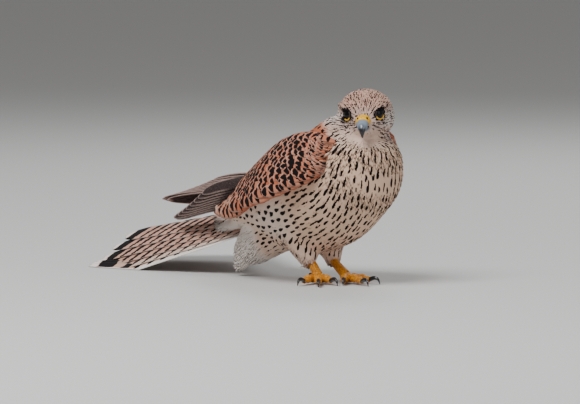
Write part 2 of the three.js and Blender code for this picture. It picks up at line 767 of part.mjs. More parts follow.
function legParts(name, side, cutters) {
  const group = new THREE.Group();
  group.position.copy(footAt(side));
  group.rotation.z = radians(STANCE_YAW);
  group.updateMatrix();
  const floor = underFloor();
  const pad = ball(at(0, 0, TOE_HEIGHT + 0.4), PAD_RADIUS, 10, 7);
  const toes = TOES.map((toe) => toeSolid(toe, side));
  const foot = without(join([pad, ...toes]), [floor]);
  const footWorld = foot.transform(group.matrix.toArray());
  const claws = TOES.map((toe) => ({ toe, solid: clawSolid(toe, side) }));
  const grownToes = TOES.map((toe) => {
    const points = [0.3, 0.7, 1].map((t) => toePath(toe, side, t));
    return limb(points, [TOE_THICK, TOE_THICK * 0.9, TOE_THICK * 0.66 + GAP], 8, 4);
  });
  const footTrim = join([pad, ...grownToes, foot]);
  addPart(group, `foot_${name}`, foot, COLOURS.yellow, 0.6);
  for (const { toe, solid } of claws) {
    addPart(group, `claw_${name}_${toe.name}`, without(solid, [footTrim, floor]), COLOURS.claw, 0.25);
  }
  const thighSolid = plush(THIGH, side, cutters);
  const ankle = ball(footAt(side).add(at(0, 0, TOE_HEIGHT + 0.4)), PAD_RADIUS + GAP, 12, 8);
  const tarsusSolid = tarsus(side, [ankle, footWorld, cutters[0], thighSolid]);
  return { group, thighSolid, tarsusSolid };
}

// Assembly
const bird = new THREE.Group();
bird.name = "common_kestrel";

const headGroup = headParts();
const grownHead = headForm(GAP).transform(headGroup.matrix.toArray());
const roomInNeck = eyeRoom().map((room) => room.transform(headGroup.matrix.toArray()));
const torso = without(trunk(), [grownHead]);
const grownTorso = trunk(GAP);
const neck = without(neckForm(), [grownTorso, grownHead, ...roomInNeck]);

addPart(bird, "torso", torso, COLOURS.buff);
addPart(bird, "neck", neck, COLOURS.buff);
bird.add(headGroup);

const body = [grownTorso, neckForm()];
const tailSolid = tail([grownTorso]);
const wings = { right: wing(-1, WING_TIP_RIGHT, body), left: wing(1, WING_TIP_LEFT, body) };
for (const [name, solid] of Object.entries(wings)) addPart(bird, `wing_${name}`, solid, COLOURS.rufous);
addPart(bird, "tail", without(tailSolid, [underFloor()]), COLOURS.rufous);
const ventSolid = plush(VENT, 1, [grownTorso, tail([], GAP), underFloor()]);
addPart(bird, "vent", ventSolid, COLOURS.white);

for (const [name, side] of [["left", 1], ["right", -1]]) {
  const { group, thighSolid, tarsusSolid } = legParts(name, side, [grownTorso, ventSolid]);
  addPart(bird, `thigh_${name}`, thighSolid, COLOURS.buff);
  addPart(bird, `tarsus_${name}`, tarsusSolid, COLOURS.yellow, 0.6);
  bird.add(group);
}

const box = new THREE.Box3().setFromObject(bird, true);
const middle = box.getCenter(at(0, 0, 0));
bird.position.set(-middle.x, -middle.y, -box.min.z);

export default bird;
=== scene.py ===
"""Looks of a common kestrel, life size, as a still model in the pose of the photo.

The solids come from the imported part. Plumage replaces the flesh: one skin for the body and
head, small feathers that follow its lie, and the flight and tail feathers as separate vanes.
Lengths are in millimetres in the bird's own axes (breast +X, left +Y, up +Z) until a mesh is
made, and the markings are computed from named sizes.
"""

import json
import logging
import math
from dataclasses import dataclass, field
from enum import Enum
from typing import Callable, Iterator, Sequence

import bmesh
import bpy
import numpy as np
from mathutils import Matrix, Vector
from mathutils.kdtree import KDTree

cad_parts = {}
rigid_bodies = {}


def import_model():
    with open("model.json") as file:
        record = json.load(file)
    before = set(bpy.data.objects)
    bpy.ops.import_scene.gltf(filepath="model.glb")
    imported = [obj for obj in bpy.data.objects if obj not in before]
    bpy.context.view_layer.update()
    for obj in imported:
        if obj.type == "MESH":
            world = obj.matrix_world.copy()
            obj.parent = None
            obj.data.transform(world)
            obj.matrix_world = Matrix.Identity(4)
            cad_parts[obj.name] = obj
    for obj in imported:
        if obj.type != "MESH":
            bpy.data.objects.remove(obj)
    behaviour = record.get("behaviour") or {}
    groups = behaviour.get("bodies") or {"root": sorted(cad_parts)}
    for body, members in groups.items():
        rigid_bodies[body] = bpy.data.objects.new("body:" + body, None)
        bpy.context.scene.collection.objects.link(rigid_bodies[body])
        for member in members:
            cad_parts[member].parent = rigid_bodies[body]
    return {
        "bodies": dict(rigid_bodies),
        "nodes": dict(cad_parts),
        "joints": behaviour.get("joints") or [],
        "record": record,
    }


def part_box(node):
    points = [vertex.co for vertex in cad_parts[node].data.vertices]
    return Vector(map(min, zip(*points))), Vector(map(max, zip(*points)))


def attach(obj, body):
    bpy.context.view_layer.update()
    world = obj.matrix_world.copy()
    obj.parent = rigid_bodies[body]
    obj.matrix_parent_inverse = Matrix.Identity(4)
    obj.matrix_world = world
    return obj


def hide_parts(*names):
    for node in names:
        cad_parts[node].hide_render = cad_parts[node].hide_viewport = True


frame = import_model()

LOG = logging.getLogger("kestrel")
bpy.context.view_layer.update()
Array = np.ndarray
Number = float | Array
MM = 0.001
SEED = 20260

# Camera: the photo's angle, scale and framing
CAMERA_AZIMUTH = 50.0
CAMERA_ELEVATION = 4.0
MM_PER_PIXEL = 0.63
FRAME_WIDTH_PX = 580
IMAGE_MIDDLE_PX = (290.0, 202.0)
FEET_PX = (330.0, 283.0)
CAMERA_DISTANCE_MM = 3100.0
SENSOR_MM = 36.0

# The bird's sizes, as in the solids
TRUNK = (
    # x, z, half width, height above, depth below
    (-92, 37, 9, 6, 7),
    (-77, 44, 20, 11, 19),
    (-53, 53, 30, 18, 35),
    (-26, 61, 36, 26, 46),
    (4, 70, 37, 30, 47),
    (30, 77, 33, 24, 36),
    (43, 82, 24, 15, 22),
    (51, 84, 11, 6, 9),
)
NECK = (
    # x, z, reach back, reach forward, half width
    (9, 70, 36, 43, 37),
    (13, 84, 33, 34, 33),
    (20, 96, 27.5, 23, 27),
    (28, 106, 20, 15, 20),
)
HEAD_AT = np.array((32.8, 1.0, 108.4))
HEAD_YAW, HEAD_PITCH, HEAD_ROLL = -46.0, 7.0, 2.5
HEAD = (
    # x, z, half width, above, below
    (-20, -1, 4, 4, 5),
    (-16.5, -0.5, 12, 10, 12),
    (-10, 0, 17.2, 14.6, 17),
    (-2, 0, 19, 16.6, 18.5),
    (5, 0, 18, 16, 18),
    (11, -0.5, 14.8, 13.6, 15.5),
    (15.6, -2, 10.7, 9.4, 11),
    (18.6, -3.2, 5.2, 3.8, 5.6),
)
CHEEK_SWELL, BROW_SWELL = 4.0, 1.5

# Eyes: the left one's middle, its radius, and how far it looks to the side in degrees
EYE_AT = np.array((11.9, 7.4, 1.4))
EYE_RADIUS = 4.8
EYE_TURN = 52.0
# How far round its axis an eye is made, in radians, and how deep the skin lies behind it
EYE_CAP, EYE_PIT = 1.0, 0.8
# The lids' radius, and the height above the eye's middle from which the brow covers it
LID_RADIUS = 3.6
BROW_LINE = 2.5

UPPER_BILL = (
    # x, z, half width, height above, depth below
    (13.5, -1.9, 4.8, 3.2, 2.9),
    (18.4, -2.2, 4.5, 3.1, 2.8),
    (22, -2.9, 3.95, 2.9, 2.6),
    (25.3, -4.5, 3.05, 2.7, 2.2),
    (27.3, -6.9, 1.85, 2, 1.5),
    (27.8, -9.2, 0.9, 1, 0.8),
    (27.4, -10.8, 0.3, 0.3, 0.3),
)
LOWER_BILL = (
    # the same fields
    (13, -6.7, 4.6, 1.6, 2),
    (18.4, -6.8, 3.8, 1.5, 1.7),
    (22, -6.9, 2.7, 1.2, 1.3),
    (24.8, -7, 1.1, 0.6, 0.7),
)
TAIL_STEM = (
    # distance back, half width, above, below
    (4, 9, 5, 7),
    (16, 13, 5, 8.5),
    (30, 16, 3.5, 8),
    (42, 13, 1.2, 5),
    (50, 5, 0.6, 1),
)
TOES = (
    # angle from straight ahead, length, claw length
    (176, 13, 10),
    (-17, 17, 9.5),
    (12, 25, 10),
    (42, 19, 8.5),
)
# Line of the back: how far forward, and the height above which the plumage is rufous
RIDGE_X = (-92, -53, -26, 4, 20, 40)
RIDGE_Z = (42, 66, 80, 92, 98, 100)

# Rows and sides of the parts' meshes
FORM_SIDES, WING_SIDES = 56, 32
BILL_ROWS, BILL_SIDES = 48, 72
LID_SIDES, LID_TUBE_SIDES = 48, 10
FOOT_VOXEL = 0.32

# The skin: its depth under the feathers, its faces' size and its rounds of smoothing
COAT_DEPTH = 1.6
SKIN_VOXEL, SKIN_ROUNDS = 1.15, 12
BODY_ROUNDS, BREAST_ROUNDS = 24, 70

# Random places to choose marks and small feathers from, and how much sparser a trial is
MARK_CANDIDATES, MARK_CANDIDATE_GAP = 90000, 0.6
COAT_CANDIDATES, QUICK_CANDIDATES = 420000, 160000
TUFTS_PER_PIECE = 5800
# Size of a small feather's patch on the bake map
BAKE_PATCH = 0.003
# Height above which the marks are long and close together, and how many each place looks at
LONG_MARKS_ABOVE = 80.0
LONG_MARKS_NEAR, SHORT_MARKS_NEAR = 14, 6

RNG = np.random.default_rng(SEED)


# Vector helpers


def unit(v: Array) -> Array:
    """Scales vectors to length one."""
    v = np.asarray(v, float)
    return v / np.maximum(np.linalg.norm(v, axis=-1, keepdims=True), 1e-9)


def mix(a: Number, b: Number, t: Number) -> Number:
    """Blends linearly from a to b."""
    return a + (b - a) * t


def step(edge0: float, edge1: float, x: Number) -> Array:
    """Rises smoothly from 0 at edge0 to 1 at edge1."""
    t = np.clip((np.asarray(x, float) - edge0) / (edge1 - edge0), 0, 1)
    return t * t * (3 - 2 * t)


def bump(centre: float, width: float, x: Number) -> Array:
    """Gives a bell of height one."""
    return np.exp(-(((np.asarray(x, float) - centre) / width) ** 2))


def along(rows: Sequence[Sequence[float]], t: Number) -> Array:
    """Interpolates rows of numbers smoothly at places from 0 to 1.

    Args:
        rows: the table, one row for each evenly spaced place.
        t: the places.

    Returns:
        A row for each place.
    """
    table = np.asarray(rows, float)
    last = len(table) - 1
    place = np.clip(np.atleast_1d(np.asarray(t, float)), 0, 1) * last
    i = np.minimum(np.floor(place).astype(int), last - 1)
    f = (place - i)[:, None]
    pick = lambda k: table[np.clip(k, 0, last)]
    p0, p1, p2, p3 = pick(i - 1), pick(i), pick(i + 1), pick(i + 2)
    m1, m2 = (p2 - p0) / 2, (p3 - p1) / 2
    f2, f3 = f * f, f * f * f
    return (2 * f3 - 3 * f2 + 1) * p1 + (f3 - 2 * f2 + f) * m1 + (3 * f2 - 2 * f3) * p2 + (f3 - f2) * m2


def circle(count: int) -> Array:
    """Gives angles evenly round a circle."""
    return np.linspace(0, 2 * np.pi, count, endpoint=False)


def headings(rows: Sequence[Sequence[float]], t: Array) -> Array:
    """Gives the directions of a path in a body's middle plane, at places along its table."""
    ahead, behind = along(rows, t + 0.02), along(rows, t - 0.02)
    return unit(np.stack((ahead[:, 0] - behind[:, 0], 0 * t, ahead[:, 1] - behind[:, 1]), axis=1))


def axis_turn(axis: str, degrees: float) -> Array:
    """Gives a turn about one axis as a 3 by 3 array."""
    return np.array(Matrix.Rotation(math.radians(degrees), 3, axis))


HEAD_TURN = axis_turn("Z", HEAD_YAW) @ axis_turn("Y", HEAD_PITCH) @ axis_turn("X", HEAD_ROLL)


def from_head(points: Array) -> Array:
    """Moves points from the head's own axes to the bird's."""
    return np.asarray(points, float) @ HEAD_TURN.T + HEAD_AT


def to_head(points: Array) -> Array:
    """Moves points from the bird's axes to the head's own."""
    return (np.asarray(points, float) - HEAD_AT) @ HEAD_TURN


def eye_axis(side: int) -> Array:
    """Gives the direction in which an eye looks, in the head's axes."""
    turn = math.radians(EYE_TURN)
    return unit(np.array((math.cos(turn), side * math.sin(turn), 0.1)))


def eye_centre(side: int) -> Array:
    """Gives an eye's centre in the head's axes."""
    return EYE_AT * np.array((1, side, 1))


def find_offset() -> Array:
    """Finds where the bird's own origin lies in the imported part, from its left eye."""
    low, high = (np.array(v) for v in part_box("eye_left"))
    return (low + high) / 2 / MM - from_head(eye_centre(1))


OFFSET = find_offset()


def to_world(points: Array) -> Array:
    """Moves points from the bird's axes in millimetres to the scene."""
    return (np.asarray(points, float) + OFFSET) * MM


# Meshes


@dataclass
class Surface:
    """A closed surface as arrays, in the bird's axes.

    Attributes:
        verts: places in millimetres.
        faces: corner lists, each of three or four.
        values: named numbers for each vertex.
        bake: a place for each vertex on the map that colours are baked to, or None.
        grain: a place for each vertex along and across its feather, or None.
    """

    verts: Array
    faces: list
    values: dict = field(default_factory=dict)
    bake: Array | None = None
    grain: Array | None = None


def join_surfaces(parts: Sequence[Surface]) -> Surface:
    """Puts several surfaces into one, keeping the values that all of them have.

    Args:
        parts: the surfaces.

    Returns:
        One surface.
    """
    faces: list = []
    start = 0
    for part in parts:
        faces.extend([tuple(corner + start for corner in face) for face in part.faces])
        start += len(part.verts)
    names = set.intersection(*(set(part.values) for part in parts))
    has = lambda key: all(getattr(part, key) is not None for part in parts)
    return Surface(
        np.concatenate([part.verts for part in parts]),
        faces,
        {name: np.concatenate([part.values[name] for part in parts]) for name in names},
        np.concatenate([part.bake for part in parts]) if has("bake") else None,
        np.concatenate([part.grain for part in parts]) if has("grain") else None,
    )


def make_object(name: str, surface: Surface, smooth: bool = True) -> bpy.types.Object:
    """Makes a mesh object from a surface.

    Args:
        name: the piece's name.
        surface: its arrays.
        smooth: whether its faces are shaded smoothly.

    Returns:
        The object, linked to the scene, with its place in its mesh.
    """
    mesh = bpy.data.meshes.new(name)
    sizes = np.array([len(face) for face in surface.faces], np.int32)
    corners = np.concatenate([np.asarray(face, np.int32) for face in surface.faces])
    mesh.vertices.add(len(surface.verts))
    mesh.vertices.foreach_set("co", to_world(surface.verts).astype(np.float32).ravel())
    mesh.loops.add(len(corners))
    mesh.loops.foreach_set("vertex_index", corners)
    mesh.polygons.add(len(sizes))
    mesh.polygons.foreach_set("loop_start", np.concatenate(([0], np.cumsum(sizes)[:-1])).astype(np.int32))
    mesh.polygons.foreach_set("loop_total", sizes)
    mesh.update(calc_edges=True)
    mesh.validate()
    for key, values in surface.values.items():
        layer = mesh.attributes.new(key, "FLOAT", "POINT")
        layer.data.foreach_set("value", values.astype(np.float32))
    for key, places in (("OFBake", surface.bake), ("grain", surface.grain)):
        if places is None:
            continue
        layer = mesh.uv_layers.new(name=key)
        layer.data.foreach_set("uv", places[corners].astype(np.float32).ravel())
    if smooth:
        mesh.polygons.foreach_set("use_smooth", np.ones(len(sizes), bool))
    made = bpy.data.objects.new(name, mesh)
    bpy.context.scene.collection.objects.link(made)
    return made


def loft(rings: Array) -> Surface:
    """Closes a skin over rings of equal count, with a middle point at each end.

    Args:
        rings: places by ring, by corner and by axis.

    Returns:
        The closed surface.
    """
    rows, sides, _ = rings.shape
    verts = np.concatenate((rings.reshape(-1, 3), rings[:1].mean(axis=1), rings[-1:].mean(axis=1)))
    faces: list = []
    for row in range(rows - 1):
        for k in range(sides):
            n = (k + 1) % sides
            faces.append((row * sides + k, row * sides + n, (row + 1) * sides + n, (row + 1) * sides + k))
    first, last = rows * sides, rows * sides + 1
    for k in range(sides):
        n = (k + 1) % sides
        faces.append((first, n, k))
        faces.append((last, (rows - 1) * sides + k, (rows - 1) * sides + n))
    return outward(Surface(verts, faces))


def outward(surface: Surface) -> Surface:
    """Turns the faces outwards when the surface's volume comes out negative.

    Args:
        surface: a closed surface, which may be changed.

    Returns:
        The same surface.
    """
    volume = 0.0
    for face in surface.faces:
        corner = surface.verts[list(face)]
        for k in range(1, len(face) - 1):
            volume += float(np.dot(corner[0], np.cross(corner[k], corner[k + 1])))
    if volume < 0:
        surface.faces = [tuple(reversed(face)) for face in surface.faces]
    return surface


def read_rows(items: Sequence, key: str, width: int, kind: type = np.float32) -> Array:
    """Reads one field of all of a mesh's items, in rows of a given width."""
    values = np.empty(len(items) * width, kind)
    items.foreach_get(key, values)
    return values.reshape(-1, width)


def fuse(piece: bpy.types.Object, voxel: float, strength: float, rounds: int) -> None:
    """Melts a piece's overlapping forms into one smooth skin.

    Args:
        piece: the mesh object, which is changed.
        voxel: the size of its new faces in millimetres.
        strength: how far each round of smoothing goes.
        rounds: how many there are.
    """
    remesh = piece.modifiers.new("fuse", "REMESH")
    remesh.mode = "VOXEL"
    remesh.voxel_size = voxel * MM
    smooth = piece.modifiers.new("soften", "SMOOTH")
    smooth.factor = strength
    smooth.iterations = rounds
    graph = bpy.context.evaluated_depsgraph_get()
    mesh = bpy.data.meshes.new_from_object(piece.evaluated_get(graph))
    piece.modifiers.clear()
    old = piece.data
    piece.data = mesh
    bpy.data.meshes.remove(old)
    mesh.name = piece.name
    mesh.polygons.foreach_set("use_smooth", np.ones(len(mesh.polygons), bool))


def plane_rings(rows: Array, forward: Array, sides: int) -> Array:
    """Sets oval rings in planes across a path in the middle plane of a body.

    Args:
        rows: x, z, half width, height above and depth below for each ring.
        forward: the path's direction at each.
        sides: corners of each ring.

    Returns:
        The rings' places.
    """
    turn = circle(sides)
    upward = np.stack((-forward[:, 2], np.zeros(len(rows)), forward[:, 0]), axis=1)
    rise, side = np.sin(turn), np.cos(turn)
    depth = np.where(rise > 0, rows[:, 3:4], rows[:, 4:5])
    centre = np.stack((rows[:, 0], np.zeros(len(rows)), rows[:, 1]), axis=1)
    rings = centre[:, None, :] + upward[:, None, :] * (rise * depth)[:, :, None]
    rings[:, :, 1] += side * rows[:, 2:3]
    return rings


def trunk_form(inset: float) -> Surface:
    """Lofts the trunk, drawn in by inset.

    Args:
        inset: how far it is drawn in, to leave room for the feathers.

    Returns:
        The closed surface.
    """
    t = np.linspace(0, 1, 50)
    rows = along(TRUNK, t)
    rows[:, 2:5] = np.maximum(rows[:, 2:5] - inset, 1.0)
    return loft(plane_rings(rows, headings(TRUNK, t), FORM_SIDES))


def neck_form(inset: float) -> Surface:
    """Lofts the neck from the shoulders up into the head.

    Args:
        inset: how far it is drawn in, to leave room for the feathers.

    Returns:
        The closed surface.
    """
    t = np.linspace(0, 1, 20)
    rows = along(NECK, t)
    turn = circle(FORM_SIDES)
    ahead, side = np.cos(turn), np.sin(turn)
    reach = np.where(ahead > 0, rows[:, 3:4], rows[:, 2:3]) - inset
    rings = np.zeros((len(t), len(turn), 3))
    rings[:, :, 0] = rows[:, 0:1] + ahead * reach
    rings[:, :, 1] = side * (rows[:, 4:5] - inset)
    rings[:, :, 2] = rows[:, 1:2]
    return loft(rings)


def head_form(inset: float) -> Surface:
    """Lofts the head with its cheeks and brow ridges.

    Args:
        inset: how far it is drawn in, to leave room for the feathers.

    Returns:
        The closed surface.
    """
    t = np.linspace(0, 1, 44)
    rows = along(HEAD, t)
    turn = circle(FORM_SIDES)
    rise, side = np.sin(turn), np.cos(turn)
    x = rows[:, 0:1]
    cheek = CHEEK_SWELL * bump(-1, 9, x) * np.maximum(0, -rise) * np.abs(side)
    brow = BROW_SWELL * bump(9.5, 4.5, x) * bump(0.62, 0.22, rise)
    wide = rows[:, 2:3] - inset + cheek + brow
    tall = np.where(rise > 0, rows[:, 3:4], rows[:, 4:5]) - inset + brow * 0.6
    rings = np.stack((np.broadcast_to(x, wide.shape), side * wide, rows[:, 1:2] + rise * tall), axis=2)
    return loft(from_head(rings))


def brow_form(side: int) -> Surface:
    """Lofts the ridge of feathers that overhangs an eye.

    Args:
        side: 1 for the left eye, -1 for the right.

    Returns:
        The closed surface.
    """
    path = ((17.0, side * 4.4, 2.8), (15.2, side * 8.4, 5.4),
            (10.8, side * 12.8, 6.9), (4.5, side * 15.6, 6.6))
    made = limb(path, (1.5, 2.0, 2.2, 1.2), rows=24)
    made.verts = from_head(made.verts)
    return made


def limb(points: Sequence[Sequence[float]], radii: Sequence[float], sides: int = 24, rows: int = 30,
         grow: float = 0.0) -> Surface:
    """Lofts a round limb along a smooth path.

    Args:
        points: places on the path.
        radii: sizes spread evenly along it.
        sides: corners of each ring.
        rows: rings along the path.
        grow: added to each radius.

    Returns:
        The closed surface.
    """
    t = np.linspace(0, 1, rows)
    centre = along(points, t)
    radius = np.maximum(along([(r,) for r in radii], t)[:, 0] + grow, 0.05)
    tangent = unit(np.gradient(centre, axis=0))
    side = unit(np.cross(tangent, (0.03, 1.0, 0.02)))
    other = np.cross(tangent, side)
    turn = circle(sides)
    ring = side[:, None, :] * np.cos(turn)[None, :, None] + other[:, None, :] * np.sin(turn)[None, :, None]
    return loft(centre[:, None, :] + ring * radius[:, None, None])


def thigh_form(side: int, inset: float) -> Surface:
    """Lofts a feathered thigh."""
    path = ((-14, side * 13, 50), (-16, side * 13, 36), (-13, side * 11, 24), (-7, side * 9.3, 12.5))
    return limb(path, (16, 15, 11.5, 6.5), grow=-inset)


def vent_form(inset: float) -> Surface:
    """Lofts the loose feathers under the tail base."""
    path = ((-36, 0, 38), (-55, -3, 29), (-69, -8, 17), (-75, -12, 5))
    return limb(path, (20, 18, 13, 4), grow=-inset)


# Shader maths


class Socket:
    """Wraps a node socket so that shader maths can be written as Python expressions.

    Attributes:
        tree: the node tree that it belongs to.
        out: the socket itself.
    """

    def __init__(self, tree: bpy.types.NodeTree, out: bpy.types.NodeSocket) -> None:
        """Keeps the tree and the socket."""
        self.tree = tree
        self.out = out

    def _math(self, operation: str, *values: "Socket | float") -> "Socket":
        """Adds a Math node.

        Args:
            operation: its operation.
            values: its inputs in order, each a number or a Socket.

        Returns:
            Its result.
        """
        made = self.tree.nodes.new("ShaderNodeMath")
        made.operation = operation
        for socket, value in zip(made.inputs, values):
            if isinstance(value, Socket):
                self.tree.links.new(value.out, socket)
            else:
                socket.default_value = value
        return Socket(self.tree, made.outputs[0])

    def __add__(self, other: "Socket | float") -> "Socket":
        """Adds a value."""
        return self._math("ADD", self, other)

    def __sub__(self, other: "Socket | float") -> "Socket":
        """Takes a value away."""
        return self._math("SUBTRACT", self, other)

    def __rsub__(self, other: "Socket | float") -> "Socket":
        """Takes the socket away from a value."""
        return self._math("SUBTRACT", other, self)

    def __mul__(self, other: "Socket | float") -> "Socket":
        """Multiplies by a value."""
        return self._math("MULTIPLY", self, other)

    def __rmul__(self, other: "Socket | float") -> "Socket":
        """Multiplies a value by the socket."""
        return self._math("MULTIPLY", other, self)

    def __radd__(self, other: "Socket | float") -> "Socket":
        """Adds the socket to a value."""
        return self._math("ADD", other, self)

    def __truediv__(self, other: "Socket | float") -> "Socket":
        """Divides by a value."""
        return self._math("DIVIDE", self, other)

    def clamp(self) -> "Socket":
        """Limits the value to 0 and 1."""
        return self._math("MINIMUM", self._math("MAXIMUM", self, 0.0), 1.0)

    def ramp(self, low: float, high: float) -> "Socket":
        """Rises smoothly from 0 at low to 1 at high."""
        t = ((self - low) / (high - low)).clamp()
        return t * t * (3.0 - 2.0 * t)


class Shade:
    """Builds one material's node tree."""

    def __init__(self, name: str) -> None:
        """Starts a material with its surface shader."""
        self.material = bpy.data.materials.new(name)
        self.material.use_nodes = True
        self.tree = self.material.node_tree
        self.shader = self.tree.nodes["Principled BSDF"]

    def node(self, kind: str, settings: dict | None = None, sockets: dict | None = None) -> bpy.types.Node:
        """Adds a node.

        Args:
            kind: the node's type name.
            settings: its properties.
            sockets: its inputs, each a number, tuple or Socket.

        Returns:
            The node.
        """
        made = self.tree.nodes.new(kind)
        for key, value in (settings or {}).items():
            setattr(made, key, value)
        for key, value in (sockets or {}).items():
            if isinstance(value, Socket):
                self.tree.links.new(value.out, made.inputs[key])
            else:
                made.inputs[key].default_value = value
        return made

    def value(self, name: str) -> Socket:
        """Reads a named number of the mesh."""
        made = self.node("ShaderNodeAttribute", {"attribute_name": name})
        return Socket(self.tree, made.outputs["Fac"])

    def place(self) -> Socket:
        """Reads the place on the object."""
        return Socket(self.tree, self.node("ShaderNodeTexCoord").outputs["Object"])

    def noise(self, scale: float, detail: float = 3.0, vector: Socket | None = None) -> Socket:
        """Gives a noise from 0 to 1 on the object's places or on a given vector.

        Args:
            scale: its fineness.
            detail: how many finer layers it has.
            vector: what it is laid on, or None for the object's places.

        Returns:
            The noise.
        """
        sockets = {"Vector": vector or self.place(), "Scale": scale, "Detail": detail}
        return Socket(self.tree, self.node("ShaderNodeTexNoise", {}, sockets).outputs["Fac"])

    def blend(self, factor: Socket | float, a: Socket | tuple, b: Socket | tuple) -> Socket:
        """Mixes two colours.

        Args:
            factor: the share of the second.
            a: the first colour.
            b: the second colour.

        Returns:
            The mixed colour.
        """
        made = self.node("ShaderNodeMix", {"data_type": "RGBA"})
        for index, value in ((0, factor), (6, a), (7, b)):
            if isinstance(value, Socket):
                self.tree.links.new(value.out, made.inputs[index])
            elif index:
                made.inputs[index].default_value = (*value, 1.0)
            else:
                made.inputs[index].default_value = value
        return Socket(self.tree, made.outputs[2])

    def feed(self, name: str, value: Socket | float | tuple) -> None:
        """Sets or links one of the surface shader's inputs."""
        if isinstance(value, Socket):
            self.tree.links.new(value.out, self.shader.inputs[name])
        else:
            self.shader.inputs[name].default_value = value

    def relief(self, height: Socket, strength: float, distance: float) -> None:
        """Bumps the surface by a height.

        Args:
            height: the height, from 0 to 1.
            strength: how much it shows.
            distance: how high 1 stands, in metres.
        """
        sockets = {"Height": height, "Strength": strength, "Distance": distance}
        made = self.node("ShaderNodeBump", {}, sockets)
        self.tree.links.new(made.outputs["Normal"], self.shader.inputs["Normal"])


def srgb(red: int, green: int, blue: int) -> tuple[float, float, float]:
    """Turns a display colour of 0 to 255 into a linear one."""
    share = [c / 255 for c in (red, green, blue)]
    return tuple(c / 12.92 if c <= 0.04045 else ((c + 0.055) / 1.055) ** 2.4 for c in share)


@dataclass(frozen=True)
class PlumageFinish:
    """Colours of the feathers, mixed by the named numbers of each mesh."""

    cream: tuple = srgb(222, 193, 168)
    rufous: tuple = srgb(184, 98, 62)
    white: tuple = srgb(240, 232, 226)
    grey: tuple = srgb(166, 156, 168)
    dark: tuple = srgb(18, 13, 15)
    shadow: tuple = srgb(104, 68, 50)
    roughness: float = 0.82

    def build(self, name: str) -> bpy.types.Material:
        """Makes the material.

        Args:
            name: the material's name.

        Returns:
            The material.
        """
        shade = Shade(name)
        grain = Socket(shade.tree, shade.node("ShaderNodeUVMap", {"uv_map": "grain"}).outputs["UV"])
        stretch = shade.node("ShaderNodeMapping", {}, {"Vector": grain, "Scale": (9.0, 1.6, 1.0)})
        barbs = shade.noise(3.2, 2.0, Socket(shade.tree, stretch.outputs["Vector"]))
        cloud = shade.noise(160.0, 3.0)
        warm = shade.value("warm")
        colour = shade.blend(warm.clamp(), self.cream, self.rufous)
        colour = shade.blend(shade.value("grey").clamp(), colour, self.grey)
        colour = shade.blend(shade.value("light").clamp(), colour, self.white)
        soft = (cloud - 0.5) * 0.22 + (barbs - 0.5) * 0.3
        shadow = shade.blend((0.12 + soft).clamp(), colour, self.shadow)
        dark = (shade.value("dark") + (barbs - 0.5) * 0.22).ramp(0.36, 0.6)
        colour = shade.blend(dark, shadow, self.dark)
        shade.feed("Base Color", colour)
        shade.feed("Roughness", self.roughness)
        shade.feed("Specular IOR Level", 0.12)
        shade.relief(barbs, 0.25, 0.0004)
        return shade.material


@dataclass(frozen=True)
class HornFinish:
    """Smooth horn whose tone may run from a base colour to a tip colour."""

    base: tuple
    tip: tuple
    roughness: float = 0.28

    def build(self, name: str) -> bpy.types.Material:
        """Makes the material.

        Args:
            name: the material's name.

        Returns:
            The material.
        """
        shade = Shade(name)
        share = (shade.value("tip") + (shade.noise(260.0) - 0.5) * 0.25).ramp(0.25, 0.75)
        shade.feed("Base Color", shade.blend(share, self.base, self.tip))
        shade.feed("Roughness", self.roughness)
        shade.feed("Coat Weight", 0.3)
        shade.relief(shade.noise(900.0), 0.12, 0.0002)
        return shade.material


@dataclass(frozen=True)
class SkinFinish:
    """Bare yellow skin, with scales on the toes."""

    colour: tuple
    shadow: tuple
    scale: float
    strength: float

    def build(self, name: str) -> bpy.types.Material:
        """Makes the material.

        Args:
            name: the material's name.

        Returns:
            The material.
        """
        shade = Shade(name)
        cells = shade.node("ShaderNodeTexVoronoi", {"feature": "DISTANCE_TO_EDGE"},
                           {"Vector": shade.place(), "Scale": self.scale})
        edge = Socket(shade.tree, cells.outputs["Distance"])
        seam = edge.ramp(0.0, 0.12)
        patch = shade.noise(330.0)
        colour = shade.blend((patch - 0.2).clamp(), self.colour, self.shadow)
        shade.feed("Base Color", shade.blend(seam, self.shadow, colour))
        shade.feed("Roughness", 0.45)
        shade.feed("Subsurface Weight", 0.08)
        shade.relief(seam, self.strength, 0.0006)
        return shade.material


def eye_material() -> bpy.types.Material:
    """Makes the wet, nearly black brown of the eye."""
    shade = Shade("eye")
    pupil = shade.value("iris").ramp(0.52, 0.6)
    shade.feed("Base Color", shade.blend(pupil, srgb(4, 3, 4), srgb(30, 15, 9)))
    shade.feed("Roughness", 0.06)
    shade.feed("Specular IOR Level", 0.22)
    return shade.material


# Plumage: regions, lie and markings


def head_share(points: Array) -> Array:
    """Gives how much a place belongs to the head rather than the body.

    Args:
        points: the places.

    Returns:
        From 0 on the body to 1 on the head.
    """
    local = to_head(points)
    reach = np.linalg.norm(local * np.array((1, 1, 0.95)), axis=1)
    return 1 - step(21, 30, reach)


def back_share(points: Array) -> Array:
    """Gives how much a place belongs to the rufous back."""
    x, _, z = points.T
    return step(-14, -4, z - np.interp(x, RIDGE_X, RIDGE_Z)) * step(34, 20, x)


def vent_share(points: Array) -> Array:
    """Gives how much a place belongs to the loose feathers under the tail."""
    return step(-46, -58, points[:, 0]) * step(40, 30, points[:, 2])


